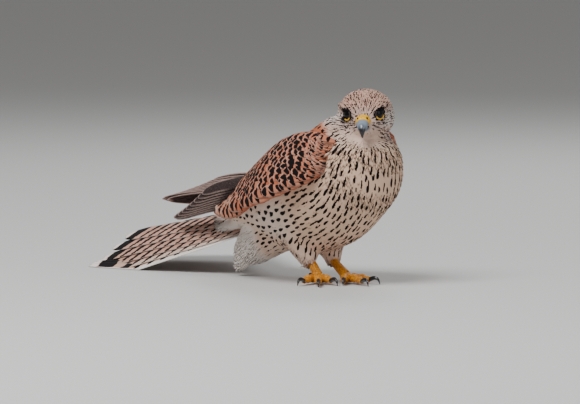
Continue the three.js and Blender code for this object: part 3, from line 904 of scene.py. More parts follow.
def lie(points: Array, normals: Array) -> Array:
    """Gives the direction in which feathers lie on the skin.

    Args:
        points: places on the skin.
        normals: the skin's directions there.

    Returns:
        Unit directions in the surface.
    """
    local = to_head(points)
    from_bill = (local - np.array((24.0, 0.0, -3.0))) @ HEAD_TURN.T
    body = np.tile(np.array((-0.93, 0.0, -0.36)), (len(points), 1))
    front = step(10, 46, points[:, 0])[:, None]
    body = mix(body, np.array((-0.35, 0.0, -0.94)), front)
    leg = (step(34, 20, points[:, 2]) * step(-44, -34, points[:, 0]))[:, None]
    body = mix(body, np.array((0.1, 0.0, -1.0)), leg * 0.8)
    vent = (step(36, 24, points[:, 2]) * step(-42, -54, points[:, 0]))[:, None]
    body = mix(body, np.array((-0.75, -0.15, -0.6)), vent)
    share = head_share(points)[:, None]
    flow = mix(body, unit(from_bill), share)
    flow -= normals * (flow * normals).sum(axis=1, keepdims=True)
    return unit(flow)


def plumage_ground(points: Array) -> dict:
    """Gives the ground colour shares of places on the body.

    Args:
        points: places on or near the skin.

    Returns:
        How rufous, grey and light each is.
    """
    x, y, z = points.T
    hx, _, hz = to_head(points).T
    head = head_share(points)
    back = back_share(points) * (1 - head)
    rump = step(-52, -66, x)
    belly = step(34, 14, z)
    flank = step(6, -22, x) * step(14, 30, np.abs(y)) * (1 - back)
    warm = mix(0.12, 0.92, back) * (1 - rump * 0.35) * (1 - 0.5 * flank)
    crown = step(1, 9, hz)
    throat = head * step(-6, -11, hz) * step(-2, 8, hx)
    warm = mix(warm + 0.12 * belly, 0.06 + 0.36 * crown + 0.22 * throat, head)
    grey = head * (0.42 * (1 - crown) + 0.22 * crown) * (1 - throat) + rump * back * 0.45
    nape = (1 - head) * step(82, 100, z) * (1 - back)
    grey = np.maximum(grey, 0.3 * nape)
    vent = vent_share(points)
    light = np.maximum(vent * 0.9, 0.3 * belly * (1 - vent))
    light = np.maximum(light, 0.45 * flank)
    cheek = head * bump(-3, 5.5, hz) * step(16, 6, hx)
    light = np.maximum(light, np.maximum(throat * 0.3, 0.6 * cheek))
    light = np.maximum(light, 0.35 * nape)
    return {"warm": warm, "grey": grey, "light": light}


# Marks by region: pitch along and across, half length, half width and strength
MARK_STYLES = {
    "breast": (6.0, 3.0, 3.7, 0.95, 1.0),
    "flank": (6.2, 4.5, 2.4, 1.8, 1.0),
    "back": (7.0, 5.8, 1.8, 2.4, 1.0),
    "neck": (4.0, 1.6, 3.4, 0.55, 1.0),
    "head": (4.0, 1.05, 3.0, 0.36, 0.95),
}


def mark_sizes(points: Array) -> Array:
    """Gives the sizes of the marks at places.

    Args:
        points: places on the skin.

    Returns:
        A row of MARK_STYLES for each, blended between regions.
    """
    x, y, z = points.T
    hx, hy, hz = to_head(points).T
    head = head_share(points)
    back = back_share(points)
    sizes = np.tile(np.array(MARK_STYLES["breast"]), (len(points), 1))
    for region, share in (
        ("flank", step(10, -20, x) * step(16, 30, np.abs(y)) * (1 - back)),
        ("back", back),
        ("neck", step(80, 92, z) * (1 - back)),
        ("head", head * step(-13, -5, hz)),
    ):
        sizes = mix(sizes, np.array(MARK_STYLES[region]), share[:, None])
    belly = step(26, 12, z) * step(30, 20, x)
    vent = step(-48, -56, x) * step(40, 30, z)
    throat = head * step(-7, -11, hz) * step(2, 9, hx) * step(11, 6, np.abs(hy))
    sizes[:, 4] *= (1 - np.maximum(belly * 0.5, vent)) * (1 - throat)
    return sizes


# Soft dark streaks by each eye, from the front of the left eye: start and end, width and strength
EYE_STREAKS = (
    (((0.6, -0.6, 3.0), (-5.5, 3.4, 4.2)), 2.2, 0.5),
    (((0.0, 0.4, -3.8), (-4.0, 3.4, -9.5)), 3.0, 0.5),
    (((-3.0, 2.6, -8.5), (-8.5, 4.4, -17.0)), 3.6, 0.47),
    (((2.6, -2.6, -2.6), (4.2, -4.4, -4.4)), 1.6, 0.45),
)


def mask_eye(local: Array) -> Array:
    """Gives the dark smudges about the eyes and the streak below them, in the head's axes.

    Args:
        local: places in the head's axes.

    Returns:
        The darkness of each.
    """
    dark = np.zeros(len(local))
    for side in (1, -1):
        eye = eye_centre(side) + eye_axis(side) * EYE_RADIUS
        near = np.linalg.norm((local - eye) / np.array((4.4, 4.6, 4.2)), axis=1)
        dark = np.maximum(dark, 0.62 * (1 - step(0.9, 1.3, near)))
        for way, width, strength in EYE_STREAKS:
            start, end = eye + np.array(way[0]) * (1, side, 1), eye + np.array(way[1]) * (1, side, 1)
            run = end - start
            t = np.clip(((local - start) @ run) / (run @ run), 0, 1)
            gap = np.linalg.norm(local - (start + t[:, None] * run), axis=1)
            dark = np.maximum(dark, strength * (1 - step(0.35 * width, width, gap)))
    return dark


AROUND = [(a, b, c) for a in (-1, 0, 1) for b in (-1, 0, 1) for c in (-1, 0, 1)]


def held_near(cells: dict, key: tuple) -> Iterator:
    """Lists what a grid of cells holds in one cell and those around it."""
    for a, b, c in AROUND:
        yield from cells.get((key[0] + a, key[1] + b, key[2] + c), ())


class Markings:
    """Dark drops and bars set out over the skin, found again for any place near it."""

    CELL = 10.0

    def __init__(self, points: Array, normals: Array) -> None:
        """Chooses mark places among random places on the skin.

        Args:
            points: candidate places, in random order.
            normals: the skin's directions there.
        """
        flow = lie(points, normals)
        across = np.cross(normals, flow)
        sizes = mark_sizes(points)
        kept: list[int] = []
        cells: dict = {}
        keys = np.floor(points / self.CELL).astype(int)

        def apart(i: int, j: int) -> bool:
            """Tells whether two places leave room for a mark on each."""
            gap = points[j] - points[i]
            a, b = gap @ flow[i] / sizes[i, 0], gap @ across[i] / sizes[i, 1]
            c = gap @ normals[i] / sizes[i, 1]
            return a * a + b * b + c * c >= 1

        for i in range(len(points)):
            key = tuple(keys[i])
            if all(apart(i, j) for j in held_near(cells, key)):
                kept.append(i)
                cells.setdefault(key, []).append(i)
        self.points, self.flow = points[kept], flow[kept]
        self.across, self.sizes = across[kept], sizes[kept]
        self.tree = KDTree(len(kept))
        for i, point in enumerate(self.points):
            self.tree.insert(point, i)
        self.tree.balance()
        self.wobble = RNG.uniform(0.75, 1.2, (len(kept), 2))
        LOG.info("marks %d", len(kept))

    def dark_at(self, points: Array) -> Array:
        """Gives how dark the marks and the smudges by the eyes make places near the skin.

        Args:
            points: the places.

        Returns:
            The darkness of each, from 0 to 1.
        """
        dark = np.zeros(len(points))
        long_marks = points[:, 2] > LONG_MARKS_ABOVE
        for group, count in ((long_marks, LONG_MARKS_NEAR), (~long_marks, SHORT_MARKS_NEAR)):
            if group.any():
                dark[group] = self.dark_near(points[group], count)
        return np.maximum(dark, mask_eye(to_head(points)) * head_share(points))

    def dark_near(self, points: Array, count: int) -> Array:
        """Gives how dark the nearest marks make places.

        Args:
            points: the places.
            count: how many marks each looks at.

        Returns:
            The darkness of each.
        """
        near = np.array([[hit[1] for hit in self.tree.find_n(point, count)] for point in points])
        dark = np.zeros(len(points))
        for column in near.T:
            gap = points - self.points[column]
            a = (gap * self.flow[column]).sum(axis=1)
            b = (gap * self.across[column]).sum(axis=1)
            length = self.sizes[column, 2] * self.wobble[column, 0]
            width = self.sizes[column, 3] * self.wobble[column, 1]
            share = a / length
            drop = width * np.clip(0.75 + 0.45 * share, 0.2, 1.2)
            reach = np.sqrt(share**2 + (b / drop) ** 2)
            dark = np.maximum(dark, (1 - step(0.7, 1.25, reach)) * self.sizes[column, 4])
        return dark


# Feathers


@dataclass
class Vane:
    """One long feather laid along a path.

    Attributes:
        path: places along its middle, from root to tip.
        across: directions across it at those places.
        face: directions of its upper face.
        half: half widths.
        thick: thickness.
        columns: strips across.
        arch: how far the edges sag, as a share of the half width.
        floor: the least height of its middle layer.
    """

    path: Array
    across: Array
    face: Array
    half: Array
    thick: float = 0.35
    columns: int = 6
    arch: float = 0.06
    floor: float = 0.3

    def build(self, paint: Callable[[Array, Array], dict], cell: tuple, cells: int) -> Surface:
        """Makes the closed vane.

        Args:
            paint: gives the named numbers for places along (0 to 1) and across (-1 to 1).
            cell: its column and row on the bake map.
            cells: how many cells the map has each way.

        Returns:
            The surface with its values and map places.
        """
        rows = len(self.path)
        s = np.linspace(-1, 1, self.columns + 1)
        t = np.linspace(0, 1, rows)
        tt, ss = np.meshgrid(t, s, indexing="ij")
        lift = self.thick * (0.25 + 0.75 * (1 - ss**2)) * (0.35 + 0.65 * (1 - tt))
        sag = -self.arch * self.half[:, None] * ss**2
        ridge = 0.22 * np.exp(-((ss / 0.12) ** 2)) * (1 - tt)
        base = self.path[:, None, :] + self.across[:, None, :] * (self.half[:, None] * ss)[:, :, None]
        base = base + self.face[:, None, :] * sag[:, :, None]
        base[:, :, 2] = np.maximum(base[:, :, 2], self.floor)
        top = base + self.face[:, None, :] * (lift / 2 + ridge)[:, :, None]
        low = base - self.face[:, None, :] * (lift / 2)[:, :, None]
        width = self.columns + 1
        inner = [(r, c) for r in range(1, rows - 1) for c in range(1, self.columns)]
        number = {rc: rows * width + k for k, rc in enumerate(inner)}
        top_at = lambda r, c: r * width + c
        low_at = lambda r, c: number.get((r, c), r * width + c)
        faces = []
        for r in range(rows - 1):
            for c in range(self.columns):
                faces.append((top_at(r, c), top_at(r, c + 1), top_at(r + 1, c + 1), top_at(r + 1, c)))
                faces.append((low_at(r, c), low_at(r + 1, c), low_at(r + 1, c + 1), low_at(r, c + 1)))
        if np.dot(np.cross(self.across[0], self.path[1] - self.path[0]), self.face[0]) < 0:
            faces = [tuple(reversed(face)) for face in faces]
        rr, cc = np.array([rc[0] for rc in inner]), np.array([rc[1] for rc in inner])
        verts = np.concatenate((top.reshape(-1, 3), low[rr, cc]))
        place_t = np.concatenate((tt.ravel(), tt[rr, cc]))
        place_s = np.concatenate((ss.ravel(), ss[rr, cc]))
        values = paint(place_t, place_s)
        spot = (np.array(cell) + 0.08 + 0.84 * np.stack((place_s / 2 + 0.5, place_t), axis=1)) / cells
        grain = np.stack((place_s, place_t * len(t) * 0.12 + RNG.uniform(0, 50)), axis=1)
        return Surface(verts, faces, values, spot, grain)


def web_width(t: Array, root: float, tip_start: float, sharp: float = 2.0) -> Array:
    """Gives the half width share of a vane: narrow at the root, full, then rounded at the tip.

    Args:
        t: places along the vane.
        root: the share at its root.
        tip_start: where the tip starts to round.
        sharp: how square the tip is.

    Returns:
        The share at each place.
    """
    rise = mix(root, 1.0, step(0.0, 0.3, t))
    end = np.clip((t - tip_start) / (1 - tip_start), 0, 1)
    return rise * np.maximum((1 - end**sharp) ** 0.5, 0.06)


def tuft_template(rows: int, columns: int) -> tuple:
    """Gives a small feather's grid: places along and across, which side, and faces.

    Args:
        rows: cells along it.
        columns: cells across it.

    Returns:
        Places along, places across, which side each is on, and faces.
    """
    s = np.linspace(-1, 1, columns + 1)
    t = np.linspace(0, 1, rows + 1)
    tt, ss = np.meshgrid(t, s, indexing="ij")
    width = columns + 1
    inner = [(r, c) for r in range(1, rows) for c in range(1, columns)]
    number = {rc: (rows + 1) * width + k for k, rc in enumerate(inner)}
    low_at = lambda r, c: number.get((r, c), r * width + c)
    faces = []
    for r in range(rows):
        for c in range(columns):
            a, b, d, e = r * width + c, r * width + c + 1, (r + 1) * width + c + 1, (r + 1) * width + c
            faces.append((a, e, d, b))
            faces.append((low_at(r, c), low_at(r, c + 1), low_at(r + 1, c + 1), low_at(r + 1, c)))
    rr, cc = np.array([rc[0] for rc in inner]), np.array([rc[1] for rc in inner])
    along_t = np.concatenate((tt.ravel(), tt[rr, cc]))
    across_s = np.concatenate((ss.ravel(), ss[rr, cc]))
    upper = np.concatenate((np.ones(tt.size), -np.ones(len(inner))))
    edge = (np.abs(across_s) > 0.99) | (along_t < 0.01) | (along_t > 0.99)
    upper[edge] = 0
    return along_t, across_s, upper, np.array(faces)


@dataclass
class Coat:
    """Small feathers over part of the skin.

    Attributes:
        name: the piece's name.
        roots: their places on the skin.
        normals: the skin's directions there.
        flow: the directions in which they lie.
        length: their lengths.
        half: their half widths.
        tilt: how far the tips stand off, as a share of length.
        bake: the roots' places on the unwrapped skin.
    """

    name: str
    roots: Array
    normals: Array
    flow: Array
    length: Array
    half: Array
    tilt: Array
    bake: Array
    rows: int = 4
    columns: int = 2

    def build(self, marks: Markings) -> Surface:
        """Makes all the feathers of the piece in one closed-shell mesh.

        Args:
            marks: the markings of the skin below.

        Returns:
            The surface with its values and map places.
        """
        t, s, upper, faces = tuft_template(self.rows, self.columns)
        count, size = len(self.roots), len(t)
        jitter = RNG.normal(0, 0.09, count)
        side = unit(np.cross(self.normals, self.flow))
        flow = unit(self.flow + side * jitter[:, None])
        side = unit(np.cross(self.normals, flow))
        width = np.interp(t, (0, 0.18, 0.55, 0.85, 1.0), (0.3, 0.8, 1.0, 0.74, 0.14))
        rise = -0.12 + self.tilt[:, None] * 1.25 * np.sin(t * 1.9)
        thick = 0.13 * upper
        arch = -0.25 * (s**2)
        a = t[None, :] * self.length[:, None] - 0.15 * self.length[:, None]
        b = (s * width)[None, :] * self.half[:, None]
        c = rise * self.length[:, None] + thick[None, :] + arch[None, :] * self.half[:, None]
        verts = (
            self.roots[:, None, :]
            + flow[:, None, :] * a[:, :, None]
            + side[:, None, :] * b[:, :, None]
            + self.normals[:, None, :] * c[:, :, None]
        ).reshape(-1, 3)
        verts[:, 2] = np.maximum(verts[:, 2], 0.6)
        every = (faces[None, :, :] + (np.arange(count) * size)[:, None, None]).reshape(-1, 4)
        ground = plumage_ground(verts)
        shade = RNG.normal(0, 0.05, count).repeat(size)
        ground["warm"] = ground["warm"] + shade
        ground["dark"] = marks.dark_at(verts)
        patch = BAKE_PATCH * np.stack((s / 2, t - 0.5), axis=1)
        bake = (self.bake[:, None, :] + patch[None, :, :]).reshape(-1, 2)
        streak = np.tile(t, count) + RNG.uniform(0, 40, count).repeat(size)
        grain = np.stack((np.tile(s, count), streak), axis=1)
        return Surface(verts, list(every), ground, bake, grain)


def even_out(mesh: bpy.types.Mesh, points: Array, share: Array, rounds: int) -> Array:
    """Smooths places on a mesh towards their neighbours.

    Args:
        mesh: the mesh that tells which places are neighbours.
        points: the places.
        share: how much each may move, from 0 to 1.
        rounds: how often.

    Returns:
        The smoothed places.
    """
    ends = read_rows(mesh.edges, "vertices", 2, np.int32)
    first, second = ends.T
    count = np.maximum(np.bincount(ends.ravel(), minlength=len(points)), 1)
    for _ in range(rounds):
        total = np.stack([
            np.bincount(first, points[second, axis], len(points))
            + np.bincount(second, points[first, axis], len(points))
            for axis in range(3)
        ], axis=1)
        points = mix(points, total / count[:, None], 0.5 * share[:, None])
    return points


def read_places(mesh: bpy.types.Mesh) -> Array:
    """Reads a mesh's vertices in the bird's axes."""
    return read_rows(mesh.vertices, "co", 3) / MM - OFFSET


@dataclass
class BodySkin:
    """The one skin under the body's feathers, with random places on it.

    Attributes:
        object: the mesh object, once built.
        corners: the places of each triangle's corners.
        normals: the skin's directions there.
        maps: their places on the bake map.
    """

    object: bpy.types.Object | None = None
    corners: Array | None = None
    normals: Array | None = None
    maps: Array | None = None

    def build(self) -> None:
        """Fuses the body forms, smooths them, makes room for the eyes and unwraps the skin."""
        inset = COAT_DEPTH
        forms = [trunk_form(inset), neck_form(inset), head_form(inset), vent_form(inset + 0.6)]
        forms += [thigh_form(1, inset), thigh_form(-1, inset), Tail().stem(inset * 0.6)]
        forms += [Wing(side).shoulder() for side in Side]
        forms += [brow_form(1), brow_form(-1)]
        self.object = make_object("skin", join_surfaces(forms))
        fuse(self.object, SKIN_VOXEL, 0.6, SKIN_ROUNDS)
        mesh = self.object.data
        points = read_places(mesh)
        body = 1 - head_share(points)
        breast = step(35, 45, points[:, 2]) * step(5, 18, points[:, 0])
        points = even_out(mesh, points, body * step(10, 18, points[:, 2]), BODY_ROUNDS)
        points = even_out(mesh, points, body * breast, BREAST_ROUNDS)
        points = self.open_eyes(points)
        mesh.vertices.foreach_set("co", to_world(points).astype(np.float32).ravel())
        mesh.update()
        self.unwrap()
        mesh.calc_loop_triangles()
        corners = read_rows(mesh.loop_triangles, "vertices", 3, np.int32)
        loops = read_rows(mesh.loop_triangles, "loops", 3, np.int32)
        self.corners = points[corners]
        self.normals = read_rows(mesh.vertex_normals, "vector", 3)[corners]
        self.maps = read_rows(mesh.uv_layers["OFBake"].data, "uv", 2)[loops]

    def open_eyes(self, points: Array) -> Array:
        """Draws the skin in behind each eye, below its brow.

        Args:
            points: the skin's places.

        Returns:
            The changed places.
        """
        for side in (1, -1):
            centre = from_head(eye_centre(side)[None])[0]
            axis = HEAD_TURN @ eye_axis(side)
            gap = points - centre
            reach = np.linalg.norm(gap, axis=1)
            facing = (gap @ axis) / np.maximum(reach, 1e-6)
            lateral = np.linalg.norm(gap - (gap @ axis)[:, None] * axis, axis=1)
            rise = gap @ (HEAD_TURN @ np.array((0, 0, 1.0)))
            inside = (facing > 0.3) & (reach < 12) & (lateral < LID_RADIUS + 0.1) & (rise < BROW_LINE)
            points[inside] = centre + gap[inside] / reach[inside, None] * (EYE_RADIUS - EYE_PIT)
        return points

    def unwrap(self) -> None:
        """Unwraps the skin on the map that colours are baked to."""
        bpy.context.view_layer.objects.active = self.object
        self.object.select_set(True)
        bpy.ops.object.mode_set(mode="EDIT")
        bpy.ops.mesh.select_all(action="SELECT")
        bpy.ops.uv.smart_project(angle_limit=math.radians(72), island_margin=0.004)
        bpy.ops.object.mode_set(mode="OBJECT")
        self.object.data.uv_layers[0].name = "OFBake"

    def scatter(self, count: int) -> tuple[Array, Array, Array]:
        """Draws random places on the skin.

        Args:
            count: how many.

        Returns:
            Places, directions and map places.
        """
        edge1 = self.corners[:, 1] - self.corners[:, 0]
        edge2 = self.corners[:, 2] - self.corners[:, 0]
        area = np.linalg.norm(np.cross(edge1, edge2), axis=1)
        pick = RNG.choice(len(area), count, p=area / area.sum())
        u, v = RNG.random(count), RNG.random(count)
        fold = u + v > 1
        u[fold], v[fold] = 1 - u[fold], 1 - v[fold]
        weights = np.stack((1 - u - v, u, v), axis=1)[:, :, None]
        at = (self.corners[pick] * weights).sum(axis=1)
        normal = unit((self.normals[pick] * weights).sum(axis=1))
        return at, normal, (self.maps[pick] * weights).sum(axis=1)

    def paint(self, marks: Markings) -> None:
        """Gives the skin the feathers' ground colours and marks.

        Args:
            marks: the markings of the whole body.
        """
        mesh = self.object.data
        points = read_places(mesh)
        values = plumage_ground(points)
        values["dark"] = marks.dark_at(points)
        for key, data in values.items():
            layer = mesh.attributes.new(key, "FLOAT", "POINT")
            layer.data.foreach_set("value", data.astype(np.float32))
        mesh.uv_layers.new(name="grain")


def spread_out(points: Array, gaps: Array) -> Array:
    """Keeps places that lie at least their own gap from those kept before.

    Args:
        points: places in random order.
        gaps: the least distance at each.

    Returns:
        The indices kept.
    """
    keys = np.floor(points / float(gaps.max())).astype(int)
    cells: dict = {}
    kept: list[int] = []
    for i, (x, y, z) in enumerate(points.tolist()):
        key = tuple(keys[i])
        limit = gaps[i] ** 2
        for px, py, pz in held_near(cells, key):
            if (px - x) ** 2 + (py - y) ** 2 + (pz - z) ** 2 < limit:
                break
        else:
            kept.append(i)
            cells.setdefault(key, []).append((x, y, z))
    return np.array(kept)


# Wings and tail


class Side(Enum):
    """The bird's two sides; the value is the sign of Y."""

    LEFT = 1
    RIGHT = -1


def oval_rings(frame: tuple, high: Array, thick: Array) -> Array:
    """Sets upright ovals along a wing.

    Args:
        frame: rows, outward and upward directions and centres along the wing.
        high: half heights of the ovals.
        thick: half thicknesses.

    Returns:
        The rings' places.
    """
    _, out, up, centre = frame
    turn = circle(WING_SIDES)
    rings = centre[:, None, :] + up[:, None, :] * (np.sin(turn) * high[:, None])[:, :, None]
    return rings + out[:, None, :] * (np.cos(turn) * thick[:, None])[:, :, None]


@dataclass
class Wing:
    """A folded wing: a slim core under tiers of coverts, and the flight feathers.

    Attributes:
        side: which wing.
        tip_right: the right wing's tip, with y counted outwards as a negative.
        tip_left: the left wing's tip, counted so too.
        core_end: how far along the wing the core reaches.
        shoulder_end: how far along the rounded front reaches.
        primaries: how many flight feathers show.
    """

    side: Side
    tip_right: tuple = (-156.0, -1.0, 32.5)
    tip_left: tuple = (-182.0, -10.0, 42.0)
    core_end: float = 0.74
    shoulder_end: float = 0.16
    primaries: int = 9

    @property
    def tip(self) -> tuple:
        """Gives this wing's tip."""
        return self.tip_right if self.side is Side.RIGHT else self.tip_left

    def spine(self) -> tuple:
        """Gives the wing's rows: x, y, z, half height, half thickness and lean."""
        tip = self.tip
        half_way = (mix(-72, tip[0], 0.5), mix(-23, tip[1], 0.55), mix(48, tip[2], 0.5))
        return (
            (36, -22, 84, 7, 2.5, 0.3),
            (18, -33, 80, 17, 5, 0.35),
            (-12, -36, 71, 22, 6, 0.55),
            (-42, -31, 59, 18, 5, 0.65),
            (-72, -23, 48, 12, 3.5, 0.75),
            (*half_way, 7, 2, 0.85),
            (*tip, 1.5, 0.5, 0.95),
        )

    def frame_at(self, place: Array) -> tuple:
        """Gives rows, outward and upward directions and centres at places along the wing.

        Args:
            place: places from 0 at the shoulder to 1 at the tip.

        Returns:
            Rows, outward and upward directions, and centres.
        """
        rows = along(self.spine(), place)
        sign = self.side.value
        lean = rows[:, 5]
        nothing, one = 0 * lean, 0 * lean + 1
        out = unit(np.stack((nothing, sign * one, lean), axis=1))
        up = unit(np.stack((nothing, -sign * lean, one), axis=1))
        centre = np.stack((rows[:, 0], sign * -rows[:, 1], rows[:, 2]), axis=1)
        return rows, out, up, centre

    def surface(self, place: Array, height: Array, lift: Array) -> tuple[Array, Array]:
        """Gives places on the wing's outer face and the face's directions there.

        Args:
            place: places along the wing.
            height: places across it, from -1 to 1.
            lift: how far off the face.

        Returns:
            Places and directions.
        """
        rows, out, up, centre = self.frame_at(place)
        height = np.clip(height, -0.98, 0.98)
        far = np.sqrt(1 - height**2)
        face = unit(up * (height / rows[:, 3])[:, None] + out * (far / rows[:, 4])[:, None])
        spot = centre + up * (height * rows[:, 3])[:, None] + out * (far * rows[:, 4])[:, None]
        return spot + face * np.broadcast_to(lift, height.shape)[:, None], face

    def core(self) -> Surface:
        """Lofts the wing's solid core, in the colours of the coverts over it."""
        share = np.linspace(0, 1, 48)
        frame = self.frame_at(mix(0.09, self.core_end, share))
        ends = np.maximum((share - 0.8) / 0.25, (0.06 - share) / 0.08)
        close = np.sqrt(np.maximum(1 - np.clip(ends, 0, 1) ** 2, 0.01))
        made = loft(oval_rings(frame, (frame[0][:, 3] - 0.8) * close, (frame[0][:, 4] - 0.6) * close))
        shares = {"warm": 0.8, "grey": 0.0, "light": 0.0, "dark": 0.12}
        made.values = {key: np.full(len(made.verts), value) for key, value in shares.items()}
        return made

    def shoulder(self) -> Surface:
        """Lofts the rounded front of the wing that the body's feathers cover."""
        share = np.linspace(0, 1, 24)
        frame = self.frame_at(share * self.shoulder_end)
        close = np.sqrt(np.maximum(1 - np.abs(2 * share - 0.9) ** 3, 0.02))
        return loft(oval_rings(frame, (frame[0][:, 3] - 1.2) * close, (frame[0][:, 4] - 0.4) * close))

    def hides(self, points: Array) -> Array:
        """Tells which places of the skin lie under the wing, behind its shoulder.

        Args:
            points: places on the skin.

        Returns:
            True for each that the wing hides.
        """
        place = np.linspace(0.1, 0.62, 40)
        rows, out, up, centre = self.frame_at(place)
        gap = np.abs(points[:, :1] - centre[None, :, 0])
        near = gap.argmin(axis=1)
        offset = points - centre[near]
        rise = (offset * up[near]).sum(axis=1)
        far = (offset * out[near]).sum(axis=1)
        inside = (np.abs(rise) < rows[near, 3] - 3.5) & (np.abs(far) < rows[near, 4] + 3)
        return inside & (gap.min(axis=1) < 2)

    def covert(self, place: float, height: float, length: float, half: float, stand: float) -> Vane:
        """Lays one covering feather over the wing's face.

        Args:
            place: where it is rooted along the wing.
            height: and across it, from -1 to 1.
            length: its length.
            half: its half width.
            stand: how far its tip stands off.

        Returns:
            The vane.
        """
        t = np.linspace(0, 1, 10 + round(length * 0.7))
        two, _ = self.surface(np.array((place, place + 0.06)), np.array((height, height)), 0.0)
        per_place = np.linalg.norm(two[1] - two[0]) / 0.06
        where = place + t * length / per_place
        drift = height * (1 - 0.12 * t)
        sink = 0.5 + 2.4 * float(step(0.06, 0.0, place))
        lift = mix(-sink, stand, t)
        path, face = self.surface(where, drift, lift)
        face = unit(face[:1] * 0.35 + face)
        tangent = unit(np.gradient(path, axis=0))
        across = unit(np.cross(face, tangent))
        share = web_width(t, 0.7, 0.55, 2.2)
        return Vane(path, across, unit(np.cross(tangent, across)), half * share, 0.3, 6, 0.12)

    def flight(self) -> list[Vane]:
        """Lays the primaries out to the wing's tip, the outermost lowest and nearest the body.

        Returns:
            The vanes.
        """
        made = []
        end = np.array(self.tip) * np.array((1, -self.side.value, 1))
        _, out, up, _ = self.frame_at(np.array((0.85,)))
        _, _, _, centre = self.frame_at(np.array((0.52,)))
        out, up, start_at = out[0], up[0], centre[0]
        for k in range(self.primaries):
            start = start_at + up * (-6 + k * 1.35) + out * (k * 0.62 - 2.0)
            back = max(0, k - 1) * 6.6 + (4 if k == 0 else 0)
            finish = end + unit(start - end) * back + up * k * 0.75 + out * k * 0.62
            t = np.linspace(0, 1, 40)[:, None]
            control = (start + finish) / 2 + out * 3.0
            path = (1 - t) ** 2 * start + 2 * t * (1 - t) * control + t**2 * finish
            tangent = unit(np.gradient(path, axis=0))
            across = unit(np.cross(np.tile(out, (40, 1)), tangent))
            share = web_width(t[:, 0], 0.8, 0.72, 1.5)
            made.append(Vane(path, across, unit(np.cross(tangent, across)), 5.6 * share, 0.4, 6, 0.05))
        return made


def paint_flight(t: Array, s: Array) -> dict:
    """Colours a primary: blackish brown with a thin pale edge.

    Args:
        t: places along the feather.
        s: places across it.

    Returns:
        The named numbers.
    """
    edge = step(0.86, 1.0, np.abs(s)) * step(0.2, 0.5, t)
    tip = step(0.965, 0.99, t)
    pale = np.maximum(edge * 0.7, tip)
    return {"warm": 0.5 + 0 * t, "grey": 0.4 + 0 * t, "light": 0.35 * pale, "dark": 0.57 - 0.24 * pale}


@dataclass(frozen=True)
class CovertPaint:
    """Rufous feather with black arrowheads across it and a pale tip.

    Attributes:
        bars: how many arrowheads show.
        first: how far from the tip the first one lies, as a share of length.
        pitch: from one to the next.
        size: how long each is.
        warm: how rufous the ground is.
    """

    bars: int = 2
    first: float = 0.2
    pitch: float = 0.3
    size: float = 0.1
    warm: float = 0.95
    lean: float = 0.1

    def varied(self) -> "CovertPaint":
        """Gives a copy that differs a little, as feathers do."""
        first, size = self.first * RNG.uniform(0.75, 1.3), self.size * RNG.uniform(0.75, 1.25)
        warm, lean = self.warm * RNG.uniform(0.8, 1.1), self.lean * RNG.uniform(0.3, 1.8)
        return CovertPaint(self.bars, first, self.pitch, size, warm, lean)

    def __call__(self, t: Array, s: Array) -> dict:
        """Gives the named numbers at places along and across.

        Args:
            t: places along the feather.
            s: places across it.

        Returns:
            The shares of each colour.
        """
        dark = 0 * t
        for k in range(self.bars):
            centre = 1 - self.first - k * self.pitch - self.lean * np.abs(s) ** 1.5
            taper = self.size * np.clip(1.25 - 0.95 * np.abs(s), 0.15, 1)
            dark = np.maximum(dark, 1 - step(0.75, 1.2, np.abs(t - centre) / taper))
        tip = step(0.93, 0.99, t)
        edge = step(0.8, 1.0, np.abs(s)) * step(0.4, 0.7, t)
        pale = np.maximum(tip, edge * 0.7)
        return {
            "warm": self.warm * (1 - 0.4 * pale),
            "grey": 0.05 + 0 * t,
            "light": 0.3 * pale,
            "dark": dark * (1 - 0.8 * step(0.9, 1.0, np.abs(s))),
        }


@dataclass(frozen=True)
class TailPaint:
    """Barred tail feather with a broad black band and a white tip.

    Attributes:
        length: the feather's length.
        outer: 0 for the middle pair to 1 for the outermost.
        side: sign of the outer web across the feather.
    """

    length: float
    outer: float
    side: float
    shift: float = 0.0
    slope: float = 2.2

    def __call__(self, t: Array, s: Array) -> dict:
        """Gives the named numbers at places along and across.

        Args:
            t: places along the feather.
            s: places across it.

        Returns:
            The shares of each colour.
        """
        web = s * self.side
        d = (1 - t) * self.length + 1.8 * np.abs(s) ** 2
        band = step(6.5, 7.5, d) * (1 - step(19.0, 20.5, d + 1.5 * web))
        slant = d + self.slope * web
        phase = np.mod(slant - 26.0 + self.shift, 11.4)
        width = mix(2.9, 2.3, step(60, 130, d)) * (1 - 0.3 * step(-0.2, 0.8, web))
        bars = (1 - step(width - 0.3, width + 0.3, np.abs(phase - 3.4))) * step(23.5, 24.5, d)
        bars = bars * (1 - 0.8 * self.outer * step(0.15, 0.4, web)) * (1 - step(0.88, 0.99, np.abs(s)) * 0.7)
        white = np.maximum(1 - step(6.1, 7.3, d), 0.95 * self.outer * step(0.05, 0.3, web))
        fade = step(128, 150, d)
        edge = step(0.72, 1.0, np.abs(s))
        return {
            "warm": (0.55 - 0.2 * self.outer) * (1 - white),
            "grey": 0.12 * (1 - white) + 0 * t,
            "light": np.maximum(white, 0.05 + 0.45 * edge),
            "dark": np.maximum(band * (1 - 0.75 * self.outer * step(0.3, 0.6, web)), bars * (1 - fade)),
        }


